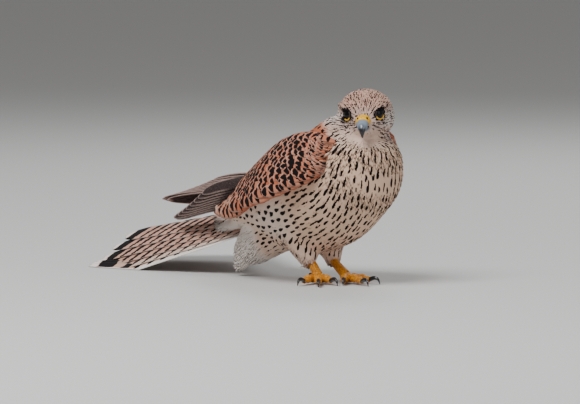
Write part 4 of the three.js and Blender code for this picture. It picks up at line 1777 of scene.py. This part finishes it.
@dataclass(frozen=True)
class Tail:
    """The fanned tail, twisted about its length, and the flattened root that the coverts hide.

    Attributes:
        root: where the feathers start.
        yaw: how far it points away from straight behind, in degrees.
        drop: how far it hangs.
        length: the middle feathers' length.
        outer_share: the outermost ones' length as a share of it.
        spread: the angle of the outermost ones.
        twist_right: how far the right half turns down.
        twist_left: how far the left half turns up.
        pairs: how many feathers each half has.
        half_width: half the width of the middle ones.
        stack: from one feather's level to the next.
        root_half: half the width of the root.
        stages: places along each feather.
    """

    root: tuple = (-64.0, 0.0, 39.0)
    yaw: float = 7.0
    drop: float = 6.0
    length: float = 166.0
    outer_share: float = 0.86
    spread: float = 24.0
    twist_right: float = 27.5
    twist_left: float = 13.0
    pairs: int = 6
    half_width: float = 8.8
    stack: float = 0.95
    root_half: float = 7.0
    stages: int = 110

    def plane(self, side: int) -> tuple[Array, Array, Array]:
        """Gives the plane of one half.

        Args:
            side: 1 for the left half, -1 for the right.

        Returns:
            Its backward, outward and upper directions.
        """
        yaw, drop = math.radians(180 - self.yaw), math.radians(self.drop)
        back = np.array((math.cos(yaw) * math.cos(drop), math.sin(yaw) * math.cos(drop), -math.sin(drop)))
        level = side * np.array((math.sin(math.radians(self.yaw)), math.cos(math.radians(self.yaw)), 0))
        twist = math.radians(self.twist_left if side > 0 else -self.twist_right)
        out = level * math.cos(twist) + np.array((0, 0, math.sin(twist)))
        face = unit(np.cross(out, back))
        return back, out, face if face[2] > 0 else -face

    def feather(self, side: int, pair: int) -> tuple[Vane, TailPaint]:
        """Lays one feather from the root, no lower than the floor.

        Args:
            side: 1 for the left half, -1 for the right.
            pair: 0 for the middle pair, and up to the outermost.

        Returns:
            The vane and its paint.
        """
        back, out, face = self.plane(side)
        place = pair / (self.pairs - 1)
        spread = math.radians(mix(1.6, self.spread, place))
        run = back * math.cos(spread) + out * math.sin(spread)
        sunk = pair * self.stack + (self.stack * 0.5 if side > 0 else 0)
        root = np.array(self.root) + out * mix(0.8, self.root_half, place) - face * sunk
        length = self.length * mix(1, self.outer_share, place**1.5)
        t = np.linspace(0, 1, self.stages)
        path = root + run * (length * t)[:, None] - face * (0.02 * length * t**2)[:, None]
        level = 0.3 + 0.35 * (self.pairs - 1 - pair)
        path[:, 2] = np.maximum(path[:, 2], level)
        tangent = unit(np.gradient(path, axis=0))
        across = unit(np.cross(np.tile(face, (self.stages, 1)), tangent))
        half = self.half_width * mix(1, 0.82, place) * web_width(t, 0.5, 0.86, 2.4)
        up = unit(np.cross(tangent, across))
        outer_sign = 1.0 if np.dot(across[50], out) > 0 else -1.0
        outer = {self.pairs - 1: 1.0, self.pairs - 2: 0.35}.get(pair, 0.0)
        shift, slope = RNG.uniform(-2.4, 2.4), RNG.uniform(0.8, 3.2)
        vane = Vane(path, across, up, half, 0.45, 8, 0.05, level)
        return vane, TailPaint(length, outer, outer_sign, shift, slope)

    def build(self) -> bpy.types.Object:
        """Makes the twelve feathers as one piece."""
        feathers = [self.feather(side, pair) for side in (-1, 1) for pair in range(self.pairs)]
        return vane_piece("tail_feathers", feathers)

    def stem(self, inset: float) -> Surface:
        """Lofts the flattened tail root that the coverts hide.

        Args:
            inset: how far it is drawn in.

        Returns:
            The closed surface.
        """
        rows = along(TAIL_STEM, np.linspace(0, 1, 24))
        turn = circle(WING_SIDES)
        rings = np.zeros((len(rows), len(turn), 3))
        wide = np.maximum(rows[:, 1:2] - inset, 0.5)
        for k, angle in enumerate(turn):
            back, out, face = self.plane(1 if math.cos(angle) > 0 else -1)
            rise = math.sin(angle)
            tall = np.maximum(rows[:, 2:3] - inset if rise > 0 else rows[:, 3:4] - inset, 0.2)
            rings[:, k] = (np.array(self.root) + back * rows[:, :1]
                           + out * (abs(math.cos(angle)) * wide) + face * (rise * tall))
        return loft(rings)


def vane_piece(name: str, vanes: Sequence[tuple[Vane, Callable]]) -> bpy.types.Object:
    """Joins vanes in one piece, each on its own cell of the bake map.

    Args:
        name: the piece's name.
        vanes: each vane with its paint.

    Returns:
        The object.
    """
    cells = math.ceil(math.sqrt(len(vanes)))
    parts = [vane.build(paint, (k % cells, k // cells), cells) for k, (vane, paint) in enumerate(vanes)]
    return make_object(name, join_surfaces(parts))


@dataclass(frozen=True)
class CovertTier:
    """One tier of coverts: place, how many, size and paint."""

    place: float
    count: int
    length: float
    half: float
    stand: float
    paint: CovertPaint


def covert_tiers() -> list[CovertTier]:
    """Lists the tiers from the longest feathers towards the shoulder.

    Returns:
        The tiers.
    """
    long_paint = CovertPaint(5, 0.1, 0.16, 0.045, 0.8)
    wide_paint = CovertPaint(3, 0.12, 0.24, 0.075, 0.9)
    mid_paint = CovertPaint(2, 0.15, 0.34, 0.11)
    small_paint = CovertPaint(2, 0.2, 0.42, 0.13)
    tiers = [CovertTier(0.43, 8, 58, 6.4, 1.4, long_paint), CovertTier(0.38, 9, 40, 6.0, 1.6, wide_paint)]
    for k, place in enumerate(np.linspace(0.41, 0.09, 12)):
        tiers.append(CovertTier(float(place), 10, 22 - k * 0.5, 4.7 - 0.08 * k, 1.7, mid_paint))
    for place in np.linspace(0.075, 0.0, 5):
        tiers.append(CovertTier(float(place), 11, 12.5, 3.1, 1.5, small_paint))
    return tiers


def wing_pieces(side: Side) -> list[bpy.types.Object]:
    """Makes a wing's core, coverts and flight feathers.

    Args:
        side: which wing.

    Returns:
        The three pieces, the core first.
    """
    wing = Wing(side)
    word = side.name.lower()
    vanes: list = []
    for number, tier in enumerate(covert_tiers()):
        for k in range(tier.count):
            share = (k + 0.5 * (number % 2)) / (tier.count - 0.5)
            height = mix(-0.9, 0.95, share) + RNG.normal(0, 0.015)
            place = tier.place + RNG.normal(0, 0.006)
            length = tier.length * (1 + RNG.normal(0, 0.05)) * (1 - 0.12 * abs(height))
            vane = wing.covert(place, height, length, tier.half, tier.stand)
            vanes.append((vane, tier.paint.varied()))
    return [
        make_object(f"wing_{word}_core", wing.core()),
        vane_piece(f"wing_{word}_coverts", vanes),
        vane_piece(f"wing_{word}_flight", [(vane, paint_flight) for vane in wing.flight()]),
    ]


# Head furniture and feet


def around_axis(axis: Array, sides: int) -> Array:
    """Gives directions evenly round an axis, across it."""
    turn = circle(sides)
    first = unit(np.cross(axis, (0, 0, 1.0)))
    return first * np.cos(turn)[:, None] + np.cross(axis, first) * np.sin(turn)[:, None]


def bill_part(rows: Sequence, grow: Sequence[float], low: float, high: float | None = None) -> Surface:
    """Lofts a bill form from one place along the head to another, or to its tip.

    Args:
        rows: the form's table.
        grow: how far it swells at its sides, above and below, down to nothing at its front edge.
        low: where it starts.
        high: where it ends, or None for its tip.

    Returns:
        The closed surface in the head's axes.
    """
    t = np.linspace(0, 1, 400)
    xs = along(rows, t)[:, 0]
    start = float(t[np.argmax(xs >= low)])
    stop = 1.0 if high is None else float(t[np.argmax(xs >= high)])
    t = np.linspace(start, stop, BILL_ROWS)
    table = along(rows, t)
    table[:, 2:5] += np.array(grow) * np.sqrt(1 - np.linspace(0, 1, BILL_ROWS) ** 4)[:, None]
    return loft(plane_rings(table, headings(rows, t), BILL_SIDES))


@dataclass(frozen=True)
class Face:
    """Eyes, lids, cere and bill, in the head's axes.

    Attributes:
        horn: the bill's finish.
        bare: the cere's finish.
        lid: the eyelids' finish.
        cere_end: how far forward the cere reaches.
        cere_swell: how far it stands out at its sides, above and below.
        nostril_at: the left nostril's middle.
        nostril_radius: its radius.
    """

    horn: HornFinish = HornFinish(srgb(122, 134, 148), srgb(20, 21, 26))
    bare: SkinFinish = SkinFinish(srgb(248, 196, 12), srgb(214, 142, 10), 700.0, 0.1)
    lid: HornFinish = HornFinish(srgb(206, 156, 22), srgb(26, 20, 18), 0.5)
    cere_end: float = 21.8
    cere_swell: tuple = (0.3, 1.2, 0.3)
    nostril_at: tuple = (20.9, 3.0, 0.0)
    nostril_radius: float = 1.1

    def bill(self) -> list[bpy.types.Object]:
        """Makes both halves of the bill, and the cere with its nostrils."""
        horn = self.horn.build("horn")
        pieces = []
        for name, rows, start in (("upper", UPPER_BILL, 21.5), ("lower", LOWER_BILL, 13.5)):
            made = bill_part(rows, (0, 0, 0), start)
            reach = made.verts[:, 0] - 23.0 + np.maximum(0, -made.verts[:, 2] - 4.5) * 1.1
            made.values = {"tip": np.clip(reach / 9.0, 0, 1)}
            made.verts = from_head(made.verts)
            piece = make_object(f"shown_bill_{name}", made)
            piece.data.materials.append(horn)
            pieces.append(piece)
        made = bill_part(UPPER_BILL, self.cere_swell, 13.8, self.cere_end)
        made.verts = from_head(made.verts)
        cere = make_object("shown_cere", made)
        cere.data.materials.append(self.bare.build("bare_skin"))
        self.pierce(cere)
        return [*pieces, cere]

    def pierce(self, cere: bpy.types.Object) -> None:
        """Sinks a round nostril with a raised rim into each side of the cere, and paints its floor dark
        brown as painted shade of the hole.

        Args:
            cere: the cere's object, which is changed.
        """
        # Painted shade: the dark brown stands for the shade deep inside the nostril, which the 0.8 mm dent
        # alone doesn't make.
        dark = Shade("nostril")
        dark.feed("Base Color", (*srgb(40, 24, 10), 1.0))
        dark.feed("Roughness", 0.9)
        cere.data.materials.append(dark.material)
        mesh = bmesh.new()
        mesh.from_mesh(cere.data)
        for side in (1, -1):
            middle = np.array(self.nostril_at) * (1, side, 1)
            centre = Vector(to_world(from_head(middle[None]))[0])
            inward = Vector(HEAD_TURN @ unit(np.array((-0.3, -side * 0.55, -0.8))))
            for face in mesh.faces:
                if (face.calc_center_median() - centre).length / MM < self.nostril_radius:
                    face.material_index = 1
            for vert in mesh.verts:
                reach = (vert.co - centre).length / MM
                if reach < self.nostril_radius:
                    vert.co += inward * 0.8 * MM
                elif reach < self.nostril_radius + 0.6:
                    vert.co -= inward * 0.2 * MM
        mesh.to_mesh(cere.data)
        mesh.free()

    def eyeball(self, side: int) -> Surface:
        """Lofts the front of an eye, with how far each place is from the pupil's middle.

        Args:
            side: 1 for the left eye, -1 for the right.

        Returns:
            The closed cap in the bird's axes.
        """
        axis, centre = eye_axis(side), eye_centre(side)
        ring = around_axis(axis, LID_SIDES)
        turn = np.linspace(0, EYE_CAP, 24)
        radius = EYE_RADIUS * (1 + 0.05 * bump(0, 0.5, turn))
        rings = centre + (axis * (np.cos(turn) * radius)[:, None])[:, None, :]
        rings = rings + ring[None, :, :] * (np.sin(turn) * radius)[:, None, None]
        ball = loft(rings[1:-1])
        ball.values = {"iris": np.concatenate((np.repeat(turn[1:-1], LID_SIDES), (0.0, EYE_CAP)))}
        ball.verts = from_head(ball.verts)
        return ball

    def eyelid(self, side: int) -> Surface:
        """Bends the rim about an eye: thick and yellow below, thin and dark above.

        Args:
            side: 1 for the left eye, -1 for the right.

        Returns:
            The closed ring in the bird's axes.
        """
        axis = eye_axis(side)
        ring = around_axis(axis, LID_SIDES)
        around = circle(LID_SIDES)
        first, second = ring[0], np.cross(axis, ring[0])
        hoop = eye_centre(side) + axis * (math.sqrt(EYE_RADIUS**2 - LID_RADIUS**2) + 0.6)
        wide, tall = LID_RADIUS, LID_RADIUS - 0.35
        spine = hoop + first * (wide * np.cos(around))[:, None] + second * (tall * np.sin(around))[:, None]
        high = (second * np.sin(around)[:, None])[:, 2]
        thick = np.interp(high, (-0.9, 0.2, 0.9), (0.5, 0.36, 0.3))
        tube = circle(LID_TUBE_SIDES)
        grid = spine[:, None, :] + (ring[:, None, :] * np.cos(tube)[None, :, None]
                                    + axis * np.sin(tube)[None, :, None]) * thick[:, None, None]
        faces = []
        for i in range(LID_SIDES):
            here, there = i * LID_TUBE_SIDES, (i + 1) % LID_SIDES * LID_TUBE_SIDES
            for j in range(LID_TUBE_SIDES):
                m = (j + 1) % LID_TUBE_SIDES
                faces.append((here + j, there + j, there + m, here + m))
        rim = outward(Surface(from_head(grid.reshape(-1, 3)), faces))
        rim.values = {"tip": np.interp(high, (-0.75, -0.1), (0, 1)).repeat(LID_TUBE_SIDES)}
        return rim

    def eyes(self) -> list[bpy.types.Object]:
        """Makes both eyes and their lids."""
        made = []
        shine, lid = eye_material(), self.lid.build("eyelid")
        for side, word in ((1, "left"), (-1, "right")):
            for name, surface, material in (
                ("eye", self.eyeball(side), shine),
                ("eyelid", self.eyelid(side), lid),
            ):
                piece = make_object(f"shown_{name}_{word}", surface)
                piece.data.materials.append(material)
                made.append(piece)
        return made


@dataclass(frozen=True)
class Foot:
    """A bare foot with its tarsus, toes and claws.

    Attributes:
        side: which foot.
        stance_at: the middle between the feet.
        stance_yaw: how far both feet point to the side, in degrees.
        spread: from the middle to each foot.
        toe_thick: the toes' radius at the root.
        toe_height: the height of their middles.
    """

    side: Side
    stance_at: tuple = (2.0, 0.0)
    stance_yaw: float = -28.0
    spread: float = 9.0
    toe_thick: float = 2.7
    toe_height: float = 3.0

    def place(self, points: Array) -> Array:
        """Moves points from the foot's own axes to the bird's."""
        turn = axis_turn("Z", self.stance_yaw)
        spot = np.array((*self.stance_at, 0)) + turn @ np.array((0, self.side.value * self.spread, 0))
        return np.asarray(points, float) @ turn.T + spot

    def toe(self, angle: float, length: float, claw: float) -> tuple[Surface, Surface]:
        """Makes a toe with its pads, and its hooked claw.

        Args:
            angle: its direction from straight ahead, in degrees.
            length: the toe's length.
            claw: the claw's length.

        Returns:
            The toe and the claw in the foot's axes.
        """
        turn = math.radians(angle) * self.side.value
        out, lift = np.array((math.cos(turn), math.sin(turn), 0)), np.array((0, 0, 1.0))
        t = np.linspace(0, 1, 60)
        path = out * (length * t)[:, None]
        path[:, 2] = self.toe_height + 0.96 * np.sin(np.pi * t)
        pads = 0.28 * np.cos(2 * np.pi * max(2, round(length / 6.5)) * t)
        radius = self.toe_thick * np.interp(t, (0, 0.25, 0.5, 0.75, 1), (1, 0.95, 0.92, 0.85, 0.62)) + pads
        toe = limb([tuple(p) for p in path[::3]], [float(r) for r in radius[::3]], 24, 60)
        start = path[-1]
        bend = (start - out * 1.4, start + out * claw * 0.35 + lift * 1.3,
                start + out * claw * 0.68 + lift * 0.3, start + out * claw * 0.82 - lift * (start[2] - 0.45))
        return toe, limb([tuple(p) for p in bend], (1.45, 1.25, 0.75, 0.2), 16, 24)

    def build(self) -> tuple[Surface, Surface]:
        """Makes the skin of the foot and the claws."""
        toes = [self.toe(*row) for row in TOES]
        skin, claws = [toe for toe, _ in toes], [claw for _, claw in toes]
        skin.append(limb(((-3, 0, 3.4), (0, 0, 3.6), (3, 0, 3.4)), (2.8, 3.6, 2.8), 24, 16))
        for made in (*skin, *claws):
            made.verts = self.place(made.verts)
            made.verts[:, 2] = np.maximum(made.verts[:, 2], 0.05)
        knee = self.place(np.array(((-1.0, 0, 5.0),)))[0]
        sign = self.side.value
        skin.append(limb(((-16, sign * 10, 24), (-8, sign * 9, 14), tuple(knee)), (3.2, 2.7, 3.3), 24, 40))
        for made in claws:
            made.values = {"tip": np.ones(len(made.verts))}
        return join_surfaces(skin), join_surfaces(claws)


# The coat


# Small feathers by region: gap, length, half width, and how far the tip stands off
COAT_STYLES = {
    "body": (1.6, 7.2, 1.25, 0.075),
    "back": (1.9, 8.5, 1.9, 0.08),
    "thigh": (1.5, 5.6, 0.95, 0.1),
    "vent": (1.25, 9.0, 0.7, 0.13),
    "neck": (1.35, 7.0, 0.95, 0.14),
    "crown": (0.9, 3.4, 0.55, 0.1),
    "face": (0.72, 2.3, 0.42, 0.12),
}


def coat_sizes(points: Array) -> Array:
    """Gives the sizes of the small feathers at places on the skin.

    Args:
        points: the places.

    Returns:
        A row of COAT_STYLES for each, blended between regions, shorter near the floor.
    """
    x, _, z = points.T
    head = head_share(points)
    back = back_share(points)
    sizes = np.tile(np.array(COAT_STYLES["body"]), (len(points), 1))
    for region, share in (
        ("back", back),
        ("thigh", step(26, 16, z) * step(-40, -30, x)),
        ("vent", step(-42, -54, x) * step(38, 28, z)),
        ("neck", step(80, 92, z) * (1 - head) * (1 - 0.6 * back)),
        ("crown", head),
        ("face", head * step(2, 12, to_head(points)[:, 0])),
    ):
        sizes = mix(sizes, np.array(COAT_STYLES[region]), share[:, None])
    trimmed = np.clip((z - 1.0) / 9.0, 0.35, 1.0)
    sizes[:, 1] *= np.where(x < -50, trimmed, 1.0)
    return sizes


def bald(points: Array) -> Array:
    """Tells which places carry no feathers: the eyes, the bill root and under the wings' cores.

    Args:
        points: places on the skin.

    Returns:
        True for each bare place.
    """
    local = to_head(points)
    bare = np.zeros(len(points), bool)
    for side in (1, -1):
        gap = local - eye_centre(side)
        axis = eye_axis(side)
        ahead = gap @ axis
        lateral = np.linalg.norm(gap - ahead[:, None] * axis, axis=1)
        bare |= (ahead > 1.0) & (lateral < LID_RADIUS + 0.25) & (ahead < 12) & (gap[:, 2] < BROW_LINE)
    bare |= (local[:, 0] > 15.5) & (np.abs(local[:, 1]) < 4.8) & (local[:, 2] > -9.2) & (local[:, 2] < 1.0)
    for side in Side:
        bare |= Wing(side).hides(points)
    bare |= points[:, 2] < 2.2
    return bare


def coat_pieces(skin: BodySkin, marks: Markings) -> list[bpy.types.Object]:
    """Covers the skin with small feathers, in pieces of bounded size.

    Args:
        skin: the skin that carries them.
        marks: its markings.

    Returns:
        The pieces.
    """
    points, normals, maps = skin.scatter(COAT_CANDIDATES)
    sizes = coat_sizes(points)
    keep = ~bald(points)
    points, normals, maps, sizes = points[keep], normals[keep], maps[keep], sizes[keep]
    kept = spread_out(points, sizes[:, 0] * (1.0))
    points, normals, maps, sizes = points[kept], normals[kept], maps[kept], sizes[kept]
    LOG.info("small feathers %d", len(points))
    flow = lie(points, normals)
    region = np.where(head_share(points) > 0.5, 0, np.where(points[:, 0] > 8, 1, 2))
    region = np.where((region == 2) & (points[:, 2] < 50), 3, region)
    made = []
    for number, word in enumerate(("head", "breast", "back", "belly")):
        chosen = np.flatnonzero(region == number)
        for part, block in enumerate(np.array_split(chosen, math.ceil(len(chosen) / TUFTS_PER_PIECE))):
            vary = 1 + RNG.normal(0, 0.1, len(block))
            coat = Coat(
                f"coat_{word}_{part}", points[block], normals[block], flow[block],
                sizes[block, 1] * vary, sizes[block, 2] * vary,
                sizes[block, 3] * (1 + RNG.normal(0, 0.2, len(block))), maps[block],
            )
            made.append(make_object(coat.name, coat.build(marks)))
    return made


# Stage


def direction(azimuth: float, elevation: float) -> Array:
    """Gives the direction from the object towards a viewer."""
    a, e = math.radians(azimuth), math.radians(elevation)
    return np.array((math.sin(a) * math.cos(e), -math.cos(a) * math.cos(e), math.sin(e)))


def set_camera() -> bpy.types.Object:
    """Places the camera at the photo's angle and framing."""
    back = direction(CAMERA_AZIMUTH, CAMERA_ELEVATION)
    a = math.radians(CAMERA_AZIMUTH)
    right = np.array((math.cos(a), math.sin(a), 0))
    up = np.cross(back, right)
    across = (IMAGE_MIDDLE_PX[0] - FEET_PX[0]) * MM_PER_PIXEL
    above = (FEET_PX[1] - IMAGE_MIDDLE_PX[1]) * MM_PER_PIXEL
    target = right * across + up * above
    data = bpy.data.cameras.new("camera")
    data.sensor_width = SENSOR_MM
    data.lens = SENSOR_MM * CAMERA_DISTANCE_MM / (FRAME_WIDTH_PX * MM_PER_PIXEL)
    data.clip_start, data.clip_end = 0.1, 30.0
    camera = bpy.data.objects.new("camera", data)
    bpy.context.scene.collection.objects.link(camera)
    camera.location = Vector(to_world(target + back * CAMERA_DISTANCE_MM))
    camera.rotation_euler = Vector(tuple(back)).to_track_quat("Z", "Y").to_euler()
    bpy.context.scene.camera = camera
    return camera


@dataclass(frozen=True)
class Lamp:
    """A soft studio lamp aimed at the bird.

    Attributes:
        name: its name.
        azimuth: where it stands round the bird, in degrees.
        elevation: how high, in degrees.
        distance: how far, in metres.
        size: its width in metres.
        power: its power in watts.
    """

    name: str
    azimuth: float
    elevation: float
    distance: float
    size: float
    power: float

    def build(self) -> None:
        """Adds the lamp, aimed at the bird."""
        data = bpy.data.lights.new(self.name, "AREA")
        data.energy = self.power
        data.size = self.size
        lamp = bpy.data.objects.new(self.name, data)
        towards = direction(self.azimuth, self.elevation)
        lamp.location = Vector(tuple(towards * self.distance)) + Vector((0, 0, 0.06))
        lamp.rotation_euler = Vector(tuple(towards)).to_track_quat("Z", "Y").to_euler()
        bpy.context.scene.collection.objects.link(lamp)


FLOOR_COLOUR = (0.56, 0.56, 0.555, 1.0)
SKY_COLOUR, SKY_STRENGTH = (0.9, 0.89, 0.88, 1.0), 0.34
LAMPS = (
    Lamp("key", 22, 50, 1.6, 0.8, 29),
    Lamp("fill", 95, 22, 1.8, 1.2, 6),
    Lamp("rim", 215, 45, 1.7, 0.8, 12),
)


def set_stage() -> None:
    """Lays the pale floor and its backdrop, and sets the light."""
    bpy.ops.mesh.primitive_plane_add(size=30, location=(0, 0, 0))
    floor = bpy.context.object
    floor.name = "floor"
    shade = Shade("floor")
    shade.feed("Base Color", FLOOR_COLOUR)
    shade.feed("Roughness", 0.9)
    floor.data.materials.append(shade.material)
    world = bpy.data.worlds.new("studio")
    world.use_nodes = True
    sky = world.node_tree.nodes["Background"]
    sky.inputs["Color"].default_value = SKY_COLOUR
    sky.inputs["Strength"].default_value = SKY_STRENGTH
    bpy.context.scene.world = world
    for lamp in LAMPS:
        lamp.build()


def stands_for(piece: bpy.types.Object, slot: str, *nodes: str,
               material: bpy.types.Material | None = None) -> None:
    """Dresses a piece, ties it to the body and hides the solids that it replaces.

    Args:
        piece: the mesh object.
        slot: its material slot in the record; not used.
        nodes: the solids it replaces.
        material: what it is made of, unless it is dressed already.
    """
    if material:
        piece.data.materials.append(material)
    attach(piece, "root")
    if nodes:
        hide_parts(*nodes)
    LOG.info("%s: %d faces", piece.name, len(piece.data.polygons))


def build_body(plumage: bpy.types.Material) -> None:
    """Makes the skin, its markings and its small feathers.

    Args:
        plumage: the feathers' material.
    """
    skin = BodySkin()
    skin.build()
    spots, normals, _ = skin.scatter(MARK_CANDIDATES)
    order = spread_out(spots, np.full(len(spots), MARK_CANDIDATE_GAP))
    marks = Markings(spots[order], normals[order])
    skin.paint(marks)
    flesh = ("torso", "neck", "head", "vent", "thigh_left", "thigh_right")
    stands_for(skin.object, "plumage_buff", *flesh, material=plumage)
    for piece in coat_pieces(skin, marks):
        stands_for(piece, "plumage_buff", material=plumage)


def build_face() -> None:
    """Makes the bill, the cere, the eyes and their lids."""
    face = Face()
    for piece in (*face.bill(), *face.eyes()):
        node = piece.name.removeprefix("shown_")
        slot = "horn" if node.startswith("bill") else "eye" if node.startswith("eye_") else "bare_skin"
        stands_for(piece, slot, node)


def build_feet() -> None:
    """Makes both feet with their claws."""
    scales = SkinFinish(srgb(240, 160, 20), srgb(170, 96, 14), 620.0, 0.7).build("foot_skin")
    claw = HornFinish(srgb(38, 38, 44), srgb(20, 20, 24), 0.22).build("claw_horn")
    for side in Side:
        word = side.name.lower()
        bare, claws = Foot(side).build()
        foot = make_object(f"feet_{word}", bare)
        fuse(foot, FOOT_VOXEL, 0.5, 4)
        stands_for(foot, "bare_skin", f"foot_{word}", f"tarsus_{word}", material=scales)
        names = [f"claw_{word}_{toe}" for toe in ("hind", "inner", "middle", "outer")]
        stands_for(make_object(f"claws_{word}", claws), "claw_horn", *names, material=claw)


def main() -> None:
    """Builds the bird's looks and the studio."""
    logging.basicConfig(level=logging.INFO, format="%(message)s")
    plumage = PlumageFinish().build("plumage")
    build_body(plumage)
    for side in Side:
        core, *feathers = wing_pieces(side)
        stands_for(core, "plumage_rufous", f"wing_{side.name.lower()}", material=plumage)
        for piece in feathers:
            stands_for(piece, "plumage_rufous", material=plumage)
    stands_for(Tail().build(), "plumage_rufous", "tail", material=plumage)
    build_face()
    build_feet()
    set_stage()
    set_camera()


if __name__ == "__main__":
    main()
